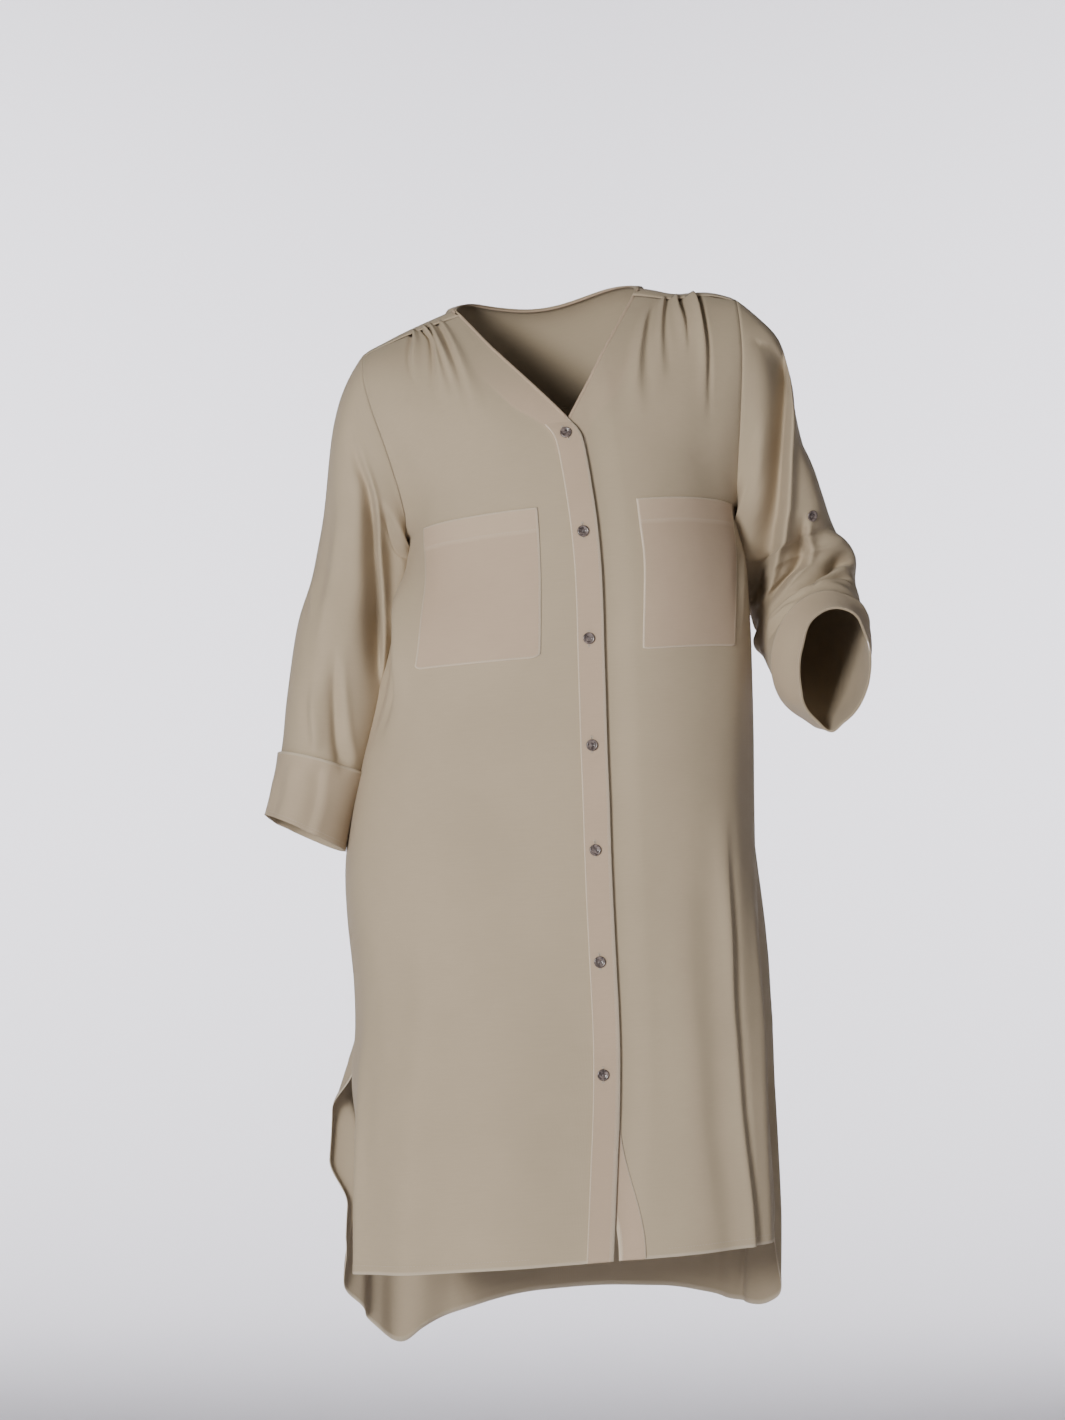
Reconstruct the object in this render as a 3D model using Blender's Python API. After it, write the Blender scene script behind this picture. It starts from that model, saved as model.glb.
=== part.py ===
"""A long V-neck tunic with a button front, as it stands when it is worn, built as hollow cloth walls.

The garment is worked out as it would hang, from short tables of its sizes. Drop is the distance below the
side of the neck. X runs to the wearer's left, -Y is the front, and Z is up. The origin is between the two
shoulders at the neck, where the wearer carries it. Side -1 is the wearer's right, and side 1 the left.
"""

import math
from bisect import bisect_right
from collections import namedtuple

import bmesh
import bpy
from mathutils import Vector

# Cloth and seams
CLOTH = 0.0015
BAND_CLOTH = 0.0011
BINDING_CLOTH = 0.0010
CUFF_CLOTH = 0.0020
HALF_SEAM_GAP = 0.0002
LAYER_GAP = 0.0004
LAP_GAP = 0.0013
BINDING_GAP = 0.0009

# Neck, shoulder and armhole
NECK_HALF_WIDTH = 0.0905
NECK_SEAM_DROP = 0.006
NECK_RIDGE_RISE = 0.022
BACK_NECK_DIP = 0.016
BACK_NECK_DEPTH = 0.070
V_DROP = 0.1245
ARMHOLE_TOP = 0.033
ARMHOLE_BOTTOM = 0.228
ARMHOLE_FRONT = 0.057
ARMHOLE_BACK = 0.060
YOKE_FRONT_ANGLE = 14.0
YOKE_BACK_ANGLE = -50.0
UNDERARM_INNER_DROP = 0.211
YOKE_BACK_DROP = 0.100

# Hems, side slits and front overlap
SLIT_DROP = 0.745
FRONT_HEM = 0.944
FRONT_HEM_RISE = 0.052
BAND_WIDTH = 0.026
BINDING_WIDTH = 0.003
BACK_MIDDLE = 0.012
PARTING = 0.031
PARTING_FROM = 0.80

# Buttons: rings from the back edge to the sunk face, and heights down the right front's band
ButtonRow = namedtuple("ButtonRow", "radius height")
BUTTON_PROFILE = (
    ButtonRow(0.0056, 0.0),
    ButtonRow(0.0058, 0.0012),
    ButtonRow(0.0051, 0.0022),
    ButtonRow(0.0040, 0.0020),
    ButtonRow(0.0032, 0.0014),
)
BUTTON_SIDES = 16
BUTTON_HEIGHTS = (-0.138, -0.234, -0.338, -0.440, -0.541, -0.649, -0.759)
TAB_BUTTON = {-1: (25.0, 0.20), 1: (-60.5, 0.076)}
TAB_BUTTON_LIFT = {-1: 0.0004, 1: -0.0009}

# Grid of each panel: how far down the armhole and the side seam its rows lie, and columns across
ARMHOLE_SHARES_FRONT = (0.0, 0.09, 0.19, 0.29, 0.39, 0.49, 0.578, 0.68, 0.79, 0.90)
ARMHOLE_SHARES_BACK = (0.0, 0.14, 0.28, 0.42, 0.56, 0.71, 0.86)
SEAM_SHARES = (0.0, 0.045, 0.09, 0.135, 0.18, 0.227, 0.273, 0.36, 0.45, 0.54, 0.63, 0.72, 0.81, 0.905)
SLIT_SHARES = (0.0, 0.16, 0.32, 0.48, 0.63, 0.76, 0.88, 1.0)
BAND_TOP_ROW = 6
POCKET_TOP_ROW = 10
POCKET_BOTTOM_ROW = 16
BAND_COLUMNS = 2
POCKET_FIRST_COLUMN = 4
POCKET_COLUMNS = 7
SIDE_COLUMNS = 4
BACK_COLUMNS = 16
YOKE_ROWS = 6
NECK_COLUMNS = 8

BodyRow = namedtuple("BodyRow", "drop left right centre front back tilt square")
BODY = (
    BodyRow(0.000, -0.185, 0.188, 0.000, 0.008, 0.060, 0.150, 2.0),
    BodyRow(0.030, -0.182, 0.190, 0.006, 0.042, 0.076, 0.148, 2.0),
    BodyRow(0.060, -0.178, 0.192, 0.012, 0.068, 0.088, 0.142, 2.0),
    BodyRow(0.100, -0.168, 0.193, 0.018, 0.093, 0.100, 0.128, 2.1),
    BodyRow(0.140, -0.156, 0.193, 0.023, 0.110, 0.107, 0.112, 2.2),
    BodyRow(0.190, -0.142, 0.191, 0.031, 0.124, 0.111, 0.098, 2.3),
    BodyRow(0.228, -0.1395, 0.1915, 0.0365, 0.129, 0.110, 0.092, 2.35),
    BodyRow(0.270, -0.1415, 0.1995, 0.0405, 0.131, 0.107, 0.086, 2.4),
    BodyRow(0.310, -0.152, 0.203, 0.0425, 0.131, 0.104, 0.082, 2.4),
    BodyRow(0.350, -0.162, 0.205, 0.0435, 0.131, 0.102, 0.080, 2.4),
    BodyRow(0.400, -0.174, 0.206, 0.0450, 0.132, 0.103, 0.080, 2.4),
    BodyRow(0.450, -0.185, 0.2065, 0.0465, 0.134, 0.107, 0.080, 2.45),
    BodyRow(0.500, -0.1945, 0.2065, 0.0485, 0.136, 0.112, 0.080, 2.5),
    BodyRow(0.550, -0.1995, 0.2070, 0.0500, 0.139, 0.118, 0.080, 2.6),
    BodyRow(0.600, -0.1970, 0.2085, 0.0520, 0.142, 0.124, 0.080, 2.7),
    BodyRow(0.660, -0.1900, 0.2110, 0.0550, 0.145, 0.129, 0.080, 2.8),
    BodyRow(0.710, -0.1880, 0.2140, 0.0575, 0.147, 0.132, 0.080, 2.9),
    BodyRow(0.750, -0.1910, 0.2170, 0.0585, 0.148, 0.134, 0.080, 3.0),
    BodyRow(0.800, -0.1955, 0.2195, 0.0580, 0.149, 0.136, 0.080, 3.1),
    BodyRow(0.850, -0.1990, 0.2225, 0.0560, 0.150, 0.138, 0.080, 3.1),
    BodyRow(0.900, -0.2010, 0.2250, 0.0540, 0.151, 0.140, 0.080, 3.1),
    BodyRow(0.950, -0.2015, 0.2262, 0.0520, 0.152, 0.142, 0.080, 3.1),
    BodyRow(1.040, -0.2015, 0.2240, 0.0510, 0.152, 0.144, 0.080, 3.1),
)

# The back hem's drop, from the right slit (-1) round to the left one (1)
HemRow = namedtuple("HemRow", "across drop")
BACK_HEM = (
    HemRow(-1.00, 0.925),
    HemRow(-0.92, 0.952),
    HemRow(-0.80, 0.983),
    HemRow(-0.64, 1.014),
    HemRow(-0.50, 1.040),
    HemRow(-0.42, 1.048),
    HemRow(-0.34, 1.036),
    HemRow(-0.24, 1.026),
    HemRow(0.00, 1.009),
    HemRow(0.30, 1.016),
    HemRow(0.52, 1.0275),
    HemRow(0.66, 1.030),
    HemRow(0.80, 1.028),
    HemRow(0.92, 0.995),
    HemRow(1.00, 0.925),
)

# The armhole's middle and half width from front view, by drop
ArmRow = namedtuple("ArmRow", "drop middle half")
ARMHOLE = (
    ArmRow(0.030, 0.004, 0.1855),
    ArmRow(0.060, 0.006, 0.1865),
    ArmRow(0.085, 0.010, 0.1840),
    ArmRow(0.130, 0.017, 0.1755),
    ArmRow(0.200, 0.025, 0.1645),
    ArmRow(0.230, 0.026, 0.1655),
)

# How far round a quarter arc each front or back row goes, by share of the armhole
ROW_ARC_TOP = 34.0
ROW_ARC_UNDERARM = 80.0

# Folds on a panel: across runs from the centre (0) to the side (1), drop is down the cloth.
# Each runs from its start to its end, is as wide as half_width either side, and stands up by height.
Fold = namedtuple("Fold", "across drop across_end drop_end half_width height fade_in fade_out")
FOLDS_RIGHT_FRONT = (
    Fold(0.43, 0.010, 0.47, 0.110, 0.060, 0.0030, 0.3, 0.7),
    Fold(0.31, 0.008, 0.36, 0.150, 0.060, 0.0046, 0.3, 0.7),
    Fold(0.18, 0.006, 0.27, 0.140, 0.060, 0.0032, 0.3, 0.7),
    Fold(0.93, 0.235, 0.55, 0.420, 0.110, 0.0060, 0.25, 0.5),
    Fold(0.45, 0.560, 0.47, 1.000, 0.110, 0.0030, 0.4, 0.05),
    Fold(0.78, 0.640, 0.74, 1.000, 0.090, 0.0050, 0.4, 0.05),
)
FOLDS_LEFT_FRONT = (
    Fold(0.39, 0.010, 0.46, 0.110, 0.060, 0.0036, 0.3, 0.7),
    Fold(0.53, 0.012, 0.62, 0.180, 0.060, 0.0046, 0.3, 0.7),
    Fold(0.20, 0.020, 0.28, 0.130, 0.060, 0.0026, 0.3, 0.6),
    Fold(0.50, 0.480, 0.52, 1.000, 0.080, 0.0040, 0.4, 0.05),
    Fold(0.80, 0.560, 0.74, 1.000, 0.075, 0.0065, 0.4, 0.05),
)
# On the back, across runs from the right side seam (-1) to the left one (1)
FOLDS_BACK = (
    Fold(0.84, 0.460, 0.86, 1.080, 0.130, 0.0180, 0.38, 0.02),
    Fold(-0.98, 0.700, -1.00, 0.893, 0.160, 0.0210, 0.50, 0.25),
    Fold(-0.80, 0.520, -0.82, 1.080, 0.120, 0.0080, 0.45, 0.02),
    Fold(-0.42, 0.420, -0.46, 1.060, 0.110, 0.0080, 0.4, 0.02),
    Fold(0.02, 0.300, 0.00, 1.060, 0.100, 0.0070, 0.4, 0.02),
    Fold(0.44, 0.420, 0.46, 1.060, 0.100, 0.0075, 0.4, 0.02),
)

# Sleeve rings: centre, half widths across and deep, tip of the across axis and lean of the deep axis
RingRow = namedtuple("RingRow", "place x y z across deep tip lean")
RIGHT_SLEEVE = (
    RingRow(0.00, -0.1845, 0.010, -0.247, 0.0435, 0.064, -20.0, 0.0),
    RingRow(0.17, -0.1910, 0.009, -0.287, 0.0440, 0.063, -14.0, -2.0),
    RingRow(0.38, -0.2035, 0.004, -0.332, 0.0445, 0.061, -9.0, -4.0),
    RingRow(0.58, -0.2155, -0.004, -0.402, 0.0420, 0.058, -9.0, -6.0),
    RingRow(0.74, -0.2250, -0.010, -0.453, 0.0375, 0.055, -12.0, -8.0),
    RingRow(0.86, -0.2330, -0.014, -0.492, 0.0370, 0.054, -15.0, -11.0),
    RingRow(1.00, -0.2395, -0.020, -0.531, 0.0400, 0.055, -18.0, -14.0),
)
LEFT_SLEEVE = (
    RingRow(0.00, 0.2390, 0.018, -0.210, 0.0425, 0.065, 28.0, 2.0),
    RingRow(0.15, 0.2455, 0.028, -0.234, 0.0445, 0.064, 26.0, 2.0),
    RingRow(0.28, 0.2485, 0.034, -0.250, 0.0480, 0.062, 24.0, -8.0),
    RingRow(0.40, 0.2550, 0.036, -0.279, 0.0525, 0.060, 22.0, -26.0),
    RingRow(0.54, 0.2620, 0.020, -0.309, 0.0530, 0.058, 18.0, -46.0),
    RingRow(0.68, 0.2675, -0.012, -0.334, 0.0500, 0.058, 13.0, -62.0),
    RingRow(0.84, 0.2720, -0.052, -0.354, 0.0455, 0.060, 8.0, -74.0),
    RingRow(1.00, 0.2800, -0.100, -0.366, 0.0370, 0.056, 5.0, -80.0),
)
CUFF_PLACE = {-1: 0.765, 1: 0.845}
CUFF_FLARE = {-1: 0.0022, 1: 0.0040}
CAP_ROWS = 5
SLEEVE_ROWS = {-1: 8, 1: 12}
CUFF_ROWS = 3
CAP_SPREAD = {-1: 0.62, 1: 0.80}
CAP_FALL = {-1: -0.78, 1: -0.60}
CAP_PULL = 0.36

# Folds on a sleeve: turn is the angle from the outside of the arm towards its back, place is down the arm
SleeveFold = namedtuple("SleeveFold", "turn place turn_end place_end half_turn height fade_in fade_out")
FOLDS_RIGHT_SLEEVE = (
    SleeveFold(-128, -0.55, -112, 0.62, 15, -0.0060, 0.3, 0.3),
    SleeveFold(-62, -0.35, -96, 0.76, 14, 0.0042, 0.3, 0.2),
    SleeveFold(-30, 0.16, -38, 0.70, 16, 0.0035, 0.2, 0.3),
    SleeveFold(95, -0.20, 80, 0.70, 20, -0.0045, 0.3, 0.3),
)
FOLDS_LEFT_SLEEVE = (
    SleeveFold(-40, -0.75, -62, 0.36, 15, 0.0075, 0.3, 0.3),
    SleeveFold(-78, -0.40, -108, 0.34, 17, -0.0070, 0.3, 0.3),
)
# Bunched rings of cloth above the turned-up cuff, on the inside of the bent elbow
BunchRow = namedtuple("BunchRow", "place half_place height turn half_turn slant")
BUNCHES = {
    -1: (),
    1: (
        BunchRow(0.40, 0.055, 0.0080, -80.0, 85.0, 0.050),
        BunchRow(0.56, 0.055, 0.0085, -90.0, 95.0, 0.035),
        BunchRow(0.71, 0.050, 0.0065, -85.0, 100.0, 0.020),
    ),
}

# Patch pockets: where their side edges lie on the front, as shares across it
PocketRow = namedtuple("PocketRow", "inner_top outer_top inner_bottom outer_bottom")
POCKETS = {
    -1: PocketRow(0.172, 0.739, 0.140, 0.582),
    1: PocketRow(0.239, 0.840, 0.190, 0.655),
}

SIDE_NAME = {-1: "right", 1: "left"}


def clamp(value):
    return min(max(value, 0.0), 1.0)


def lerp(start, end, share):
    return start + (end - start) * share


def smooth(share):
    share = clamp(share)
    return share * share * (3 - 2 * share)


def along(rows, place, column):
    """A table's column at a place down its first column, on a smooth curve through its rows."""
    keys = [row[0] for row in rows]
    values = [getattr(row, column) for row in rows]
    i = min(max(bisect_right(keys, place) - 1, 0), len(rows) - 2)

    def slope(j):
        low, high = max(j - 1, 0), min(j + 1, len(rows) - 1)
        return (values[high] - values[low]) / (keys[high] - keys[low])

    span = keys[i + 1] - keys[i]
    t = clamp((place - keys[i]) / span)
    start, end = values[i], values[i + 1]
    pull_in, pull_out = slope(i) * span, slope(i + 1) * span
    return (
        (2 * t**3 - 3 * t**2 + 1) * start
        + (t**3 - 2 * t**2 + t) * pull_in
        + (3 * t**2 - 2 * t**3) * end
        + (t**3 - t**2) * pull_out
    )


def body(drop, column):
    return along(BODY, drop, column)


def worn(point):
    """A point of the level garment, let down on the side of the lower shoulder."""
    return Vector((point.x, point.y, point.z + point.x * body(-point.z, "tilt")))


def armhole(side, angle):
    """The armhole seam at an angle from the shoulder, towards the front, in degrees."""
    turn = math.radians(angle)
    middle = (ARMHOLE_TOP + ARMHOLE_BOTTOM) / 2
    drop = middle - (ARMHOLE_BOTTOM - ARMHOLE_TOP) / 2 * math.cos(turn)
    reach = ARMHOLE_FRONT if math.sin(turn) > 0 else ARMHOLE_BACK
    x = along(ARMHOLE, drop, "middle") + side * along(ARMHOLE, drop, "half")
    return Vector((x, -reach * math.sin(turn), -drop))


def quarter(share, arc, square):
    """How far out and how far back a row is, from 0 to 1, part of the way round a squared quarter arc."""
    power = 2 / square
    turn, most = math.radians(arc) * share, math.radians(arc)
    out = math.sin(turn) ** power / math.sin(most) ** power
    back = (1 - math.cos(turn) ** power) / (1 - max(math.cos(most), 0.0) ** power)
    return out, back


def row_arc(share):
    return lerp(ROW_ARC_TOP, ROW_ARC_UNDERARM, share**0.6)


def front_edge_x(side, drop):
    """The inner edge of a front: up the V, and straight down the overlap below it."""
    centre = body(drop, "centre")
    neck = lerp(side * NECK_HALF_WIDTH, body(V_DROP, "centre"), drop / V_DROP)
    straight = centre - side * BAND_WIDTH / 2
    if side > 0:
        straight += PARTING * smooth((drop - PARTING_FROM) / (FRONT_HEM - PARTING_FROM))
    # Where the two lines cross, the corner is rounded
    blend = 0.006
    gap = (neck - straight) * side
    return straight + side * (gap + math.hypot(gap, blend)) / 2


def front_hem(across):
    """The front hem's drop: level, and rounded up to the slit at the side."""
    corner = clamp((across - 0.72) / 0.28)
    return FRONT_HEM - FRONT_HEM_RISE * (1 - math.sqrt(1 - corner * corner * 0.98))


def lower_drop(across, row, hem):
    """The drop at a row below the armhole: row 0 to 1 is the side seam, and 1 to 2 the slit."""
    start = lerp(UNDERARM_INNER_DROP, ARMHOLE_BOTTOM, abs(across) ** 3)
    if row <= 1:
        return lerp(start, SLIT_DROP, row)
    return lerp(SLIT_DROP, hem, row - 1)


def front_surface(side, across, row):
    """A point of a front: row -1 to 0 runs down the armhole, 0 to 1 the side seam, 1 to 2 the slit."""
    if row < 0:
        share = row + 1
        outer = armhole(side, lerp(YOKE_FRONT_ANGLE, 180.0, share))
        inner_drop = lerp(NECK_SEAM_DROP, UNDERARM_INNER_DROP, share)
        drop = lerp(inner_drop, -outer.z, across ** lerp(1, 3, share))
        arc, square = row_arc(share), lerp(2.0, body(drop, "square"), share)
    else:
        drop = inner_drop = lower_drop(across, row, front_hem(across))
        outer = Vector((body(drop, "left" if side < 0 else "right"), 0, 0))
        arc, square = lerp(ROW_ARC_UNDERARM, 90.0, smooth(row * 4)), body(drop, "square")
    out, back = quarter(across, arc, square)
    x = lerp(front_edge_x(side, inner_drop), outer.x, out)
    y = lerp(-body(inner_drop, "front"), outer.y, back)
    return Vector((x, y, -drop))


def back_surface(across, row):
    """A point of the back: across runs from the right side (-1) to the left (1), rows as on a front."""
    side = 1 if across >= 0 else -1
    share_out = abs(across)
    if row < 0:
        share = row + 1
        outer = armhole(side, lerp(YOKE_BACK_ANGLE, -180.0, share))
        inner_drop = lerp(YOKE_BACK_DROP, UNDERARM_INNER_DROP, share)
        drop = lerp(inner_drop, -outer.z, share_out ** lerp(1.6, 3, share))
        arc, square = lerp(56.0, ROW_ARC_UNDERARM, share), 2.2
    else:
        drop = inner_drop = lower_drop(across, row, along(BACK_HEM, across, "drop"))
        outer = Vector((body(drop, "left" if side < 0 else "right"), 0, 0))
        arc = lerp(ROW_ARC_UNDERARM, 90.0, smooth(row * 4))
        square = lerp(2.2, body(drop, "square"), smooth(row * 2))
    out, back = quarter(share_out, arc, square)
    x = lerp(BACK_MIDDLE, outer.x, out)
    y = lerp(body(inner_drop, "back"), outer.y, back)
    return Vector((x, y, -drop))


def fold_height(folds, across, drop):
    """How far all the folds of a panel move it out at a place. They leave the side seam as it is."""
    height = 0.0
    for fold in folds:
        share = (drop - fold.drop) / (fold.drop_end - fold.drop)
        if not 0 < share < 1:
            continue
        middle = lerp(fold.across, fold.across_end, share)
        off = (across - middle) / fold.half_width
        strength = smooth(share / fold.fade_in) * smooth((1 - share) / fold.fade_out)
        height += fold.height * strength * math.exp(-2 * off * off)
    seam = smooth((1 - abs(across)) / 0.08)
    return height * lerp(seam, 1.0, smooth((drop - SLIT_DROP) / 0.05))


def ways_of(grid, sign, closed=False):
    """The direction that faces out of the cloth at each point of a grid."""
    rows, columns = len(grid), len(grid[0])
    ways = []
    for i in range(rows):
        line = []
        for j in range(columns):
            if closed:
                before, after = grid[i][j - 1], grid[i][(j + 1) % columns]
            else:
                before, after = grid[i][max(j - 1, 0)], grid[i][min(j + 1, columns - 1)]
            above, below = grid[max(i - 1, 0)][j], grid[min(i + 1, rows - 1)][j]
            line.append((after - before).cross(below - above).normalized() * sign)
        ways.append(line)
    return ways


def moved(grid, ways, height):
    return [[point + way * height for point, way in zip(points, line)] for points, line in zip(grid, ways)]


def seam_way(side, angle, own):
    """The direction out of the cloth at the armhole, which the two pieces that meet there share."""
    turn = math.radians(angle)
    shared = Vector((side * 0.35, -math.sin(turn), math.cos(turn))).normalized()
    return own.lerp(shared, smooth((math.cos(turn) + 0.5) / 0.7)).normalized()


def parted(edge, inner, closed=False):
    """A seam's points, each drawn back square to the seam, towards the next point in, by half of its gap."""
    points = []
    last = len(edge) - 1
    for i, (point, next_in) in enumerate(zip(edge, inner)):
        after = edge[(i + 1) % len(edge)] if closed else edge[min(i + 1, last)]
        before = edge[i - 1] if closed else edge[max(i - 1, 0)]
        along_seam = (after - before).normalized()
        way = next_in - point
        way -= along_seam * way.dot(along_seam)
        points.append(point + way.normalized() * HALF_SEAM_GAP)
    return points


def seam_normal(surface, sign):
    """The direction out of the cloth at the yoke's seam, shared by the yoke and the panel below it. Surface
    gives a point of the panel for a step across it and a step down it."""
    step = 0.01
    across = worn(surface(step, 0)) - worn(surface(-step, 0))
    down = worn(surface(0, 5 * step)) - worn(surface(0, 0))
    return across.cross(down).normalized() * sign


def front_seam_way(side, place):
    middle = min(max(place, 0.01), 0.99)
    return seam_normal(lambda across, down: front_surface(side, middle + across, down - 1), -side)


def back_seam_way(place):
    middle = min(max(place, -0.99), 0.99)
    return seam_normal(lambda across, down: back_surface(middle + across, down - 1), 1)


def draw_edge(points, column, inner, rows):
    """Parts the edge of a panel in one column, down a number of rows."""
    edge = parted([line[column] for line in points[:rows]], [line[inner] for line in points[:rows]])
    for line, point in zip(points, edge):
        line[column] = point


def make_material(name, colour, roughness):
    material = bpy.data.materials.new(name)
    material.use_nodes = True
    shader = material.node_tree.nodes["Principled BSDF"]
    shader.inputs["Base Color"].default_value = (*colour, 1)
    shader.inputs["Roughness"].default_value = roughness
    shader.inputs["Metallic"].default_value = 0.0
    return material


def make_object(name, mesh, material):
    bmesh.ops.recalc_face_normals(mesh, faces=mesh.faces)
    data = bpy.data.meshes.new(name)
    mesh.to_mesh(data)
    mesh.free()
    data.materials.append(material)
    piece = bpy.data.objects.new(name, data)
    bpy.context.scene.collection.objects.link(piece)
    return piece


def make_wall(name, outer, inner, material, closed=False):
    """A closed cloth wall between two grids of points of the same size."""
    mesh = bmesh.new()
    skins = [[[mesh.verts.new(point) for point in line] for line in grid] for grid in (outer, inner)]
    columns = len(outer[0])
    for skin in skins:
        for upper, lower in zip(skin, skin[1:]):
            for j in range(columns if closed else columns - 1):
                k = (j + 1) % columns
                mesh.faces.new((upper[j], lower[j], lower[k], upper[k]))
    rims = [(skins[0][0], skins[1][0]), (skins[0][-1], skins[1][-1])]
    if not closed:
        rims += [([line[j] for line in skins[0]], [line[j] for line in skins[1]]) for j in (0, -1)]
    for over, under in rims:
        for j in range(len(over) if closed else len(over) - 1):
            k = (j + 1) % len(over)
            mesh.faces.new((over[j], over[k], under[k], under[j]))
    return make_object(name, mesh, material)


def layer(name, sheet, thickness, material, lift=0.0, closed=False):
    """A wall on a sheet: its inner face lies lift outside it, or for the cloth itself, inside it."""
    points, ways = sheet
    top = lift + thickness if lift else 0.0
    return make_wall(name, moved(points, ways, top), moved(points, ways, top - thickness), material, closed)


def part_of(sheet, rows, columns):
    """The part of a sheet in some of its rows and columns, each a slice."""
    return tuple([line[columns] for line in grid[rows]] for grid in sheet)


def front_rows():
    upper = [share - 1 for share in ARMHOLE_SHARES_FRONT]
    return upper + list(SEAM_SHARES) + [1 + share for share in SLIT_SHARES]


def back_rows():
    upper = [share - 1 for share in ARMHOLE_SHARES_BACK]
    return upper + list(SEAM_SHARES) + [1 + share for share in SLIT_SHARES]


def across_at(side, row, x):
    """The place across a front at which a row reaches x."""
    low, high = 0.0, 1.0
    for _ in range(24):
        middle = (low + high) / 2
        if (front_surface(side, middle, row).x - x) * side < 0:
            low = middle
        else:
            high = middle
    return (low + high) / 2


def front_columns(side, row):
    """Places across a front: the band's edges and middle, the pocket's edges, and places between."""
    band_row = max(row, ARMHOLE_SHARES_FRONT[BAND_TOP_ROW] - 1)
    edge = front_surface(side, 0.0, band_row).x
    band = across_at(side, band_row, edge + side * BAND_WIDTH)
    columns = [band * j / BAND_COLUMNS for j in range(BAND_COLUMNS + 1)]
    pocket = POCKETS[side]
    first, last = SEAM_SHARES[0], SEAM_SHARES[POCKET_BOTTOM_ROW - POCKET_TOP_ROW]
    share = smooth((row - first) / (last - first))
    start = lerp(pocket.inner_top, pocket.inner_bottom, share)
    end = lerp(pocket.outer_top, pocket.outer_bottom, share)
    columns.append((band + start) / 2)
    columns += [lerp(start, end, j / POCKET_COLUMNS) for j in range(POCKET_COLUMNS)]
    columns += [lerp(end, 1.0, j / SIDE_COLUMNS) for j in range(SIDE_COLUMNS + 1)]
    return columns


def lap_depth(side, x, drop):
    """How far the left front lies back where the right front covers it."""
    if side < 0:
        return 0.0
    off = x - (body(drop, "centre") + BAND_WIDTH / 2)
    under = CLOTH + LAP_GAP + BAND_CLOTH + LAYER_GAP
    return under * (1 - smooth((off - 0.006) / 0.026))


def front_sheet(side):
    """The points of a front as it hangs on the wearer, and the directions out of the cloth there."""
    folds = FOLDS_RIGHT_FRONT if side < 0 else FOLDS_LEFT_FRONT
    rows = front_rows()
    places = [front_columns(side, row) for row in rows]
    flat = [[front_surface(side, across, row) for across in line] for line, row in zip(places, rows)]
    flat_ways = ways_of(flat, -side)
    points = []
    for line, level, ways in zip(places, flat, flat_ways):
        heights = [
            fold_height(folds, across, -point.z) - lap_depth(side, point.x, -point.z)
            for across, point in zip(line, level)
        ]
        points.append([worn(point + way * height) for point, way, height in zip(level, ways, heights)])
    ways = ways_of(points, -side)
    ways[0] = [front_seam_way(side, across) for across in places[0]]
    for row, way in zip(rows, ways):
        if row < 0:
            way[-1] = seam_way(side, lerp(YOKE_FRONT_ANGLE, 180.0, row + 1), way[-1])
        elif row <= 1:
            way[-1] = Vector((side, 0, 0))
    draw_edge(points, -1, -2, len(rows))
    points[0] = parted(points[0], points[1])
    return points, ways


def back_sheet():
    half = BACK_COLUMNS // 2
    places = [j / half for j in range(-half, half + 1)]
    rows = back_rows()
    flat = [[back_surface(across, row) for across in places] for row in rows]
    points = [
        [
            worn(point + way * fold_height(FOLDS_BACK, across, -point.z))
            for across, point, way in zip(places, level, ways)
        ]
        for level, ways in zip(flat, ways_of(flat, 1))
    ]
    ways = ways_of(points, 1)
    ways[0] = [back_seam_way(across) for across in places]
    for end, inner, side in ((0, 1, -1), (-1, -2, 1)):
        draw_edge(points, end, inner, len(rows))
        for row, way in zip(rows, ways):
            if row < 0:
                way[end] = seam_way(side, lerp(YOKE_BACK_ANGLE, -180.0, row + 1), way[end])
            elif row <= 1:
                way[end] = Vector((side, 0, 0))
    points[0] = parted(points[0], points[1])
    return points, ways


def back_neckline(share):
    """The neck edge of the yoke, from the left front seam (0) round the back to the right one (1)."""
    turn = math.pi * share
    front = -body(NECK_SEAM_DROP, "front")
    rise = NECK_RIDGE_RISE * math.sin(turn) ** 0.6 - BACK_NECK_DIP * math.sin(turn) ** 4
    y = lerp(front, BACK_NECK_DEPTH, math.sin(turn))
    return Vector((NECK_HALF_WIDTH * math.cos(turn), y, rise - NECK_SEAM_DROP))


YokeColumn = namedtuple("YokeColumn", "top way across edge side")


def shoulder_columns(side):
    """The yoke's columns behind a front seam, from the armhole in."""
    step = 0.03
    columns = []
    for across in reversed(front_columns(side, -1)):
        top = front_surface(side, across, -1)
        way = (top - front_surface(side, across, -1 + step)).normalized()
        columns.append(YokeColumn(top, way, side * lerp(0.5, 1.0, across), across, side))
    return columns


def yoke_columns():
    """All columns of the yoke, from the left armhole round the back of the neck to the right one."""
    left, right = shoulder_columns(1), shoulder_columns(-1)
    behind = []
    for j in range(1, 2 * NECK_COLUMNS):
        share = j / (2 * NECK_COLUMNS)
        corner = left[-1].way if share < 0.5 else right[-1].way
        way = corner.lerp(Vector((0, 1, -0.35)), math.sin(math.pi * share) ** 0.7).normalized()
        behind.append(YokeColumn(back_neckline(share), way, lerp(0.5, -0.5, share), 0.0, 1))
    return left + behind + list(reversed(right))


def bezier(start, pull_out, pull_in, end, share):
    """A point of the curve that leaves start along pull_out and reaches end from pull_in."""
    rest = 1 - share
    return (
        start * rest**3
        + (start + pull_out) * (3 * rest**2 * share)
        + (end + pull_in) * (3 * rest * share**2)
        + end * share**3
    )


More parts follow.
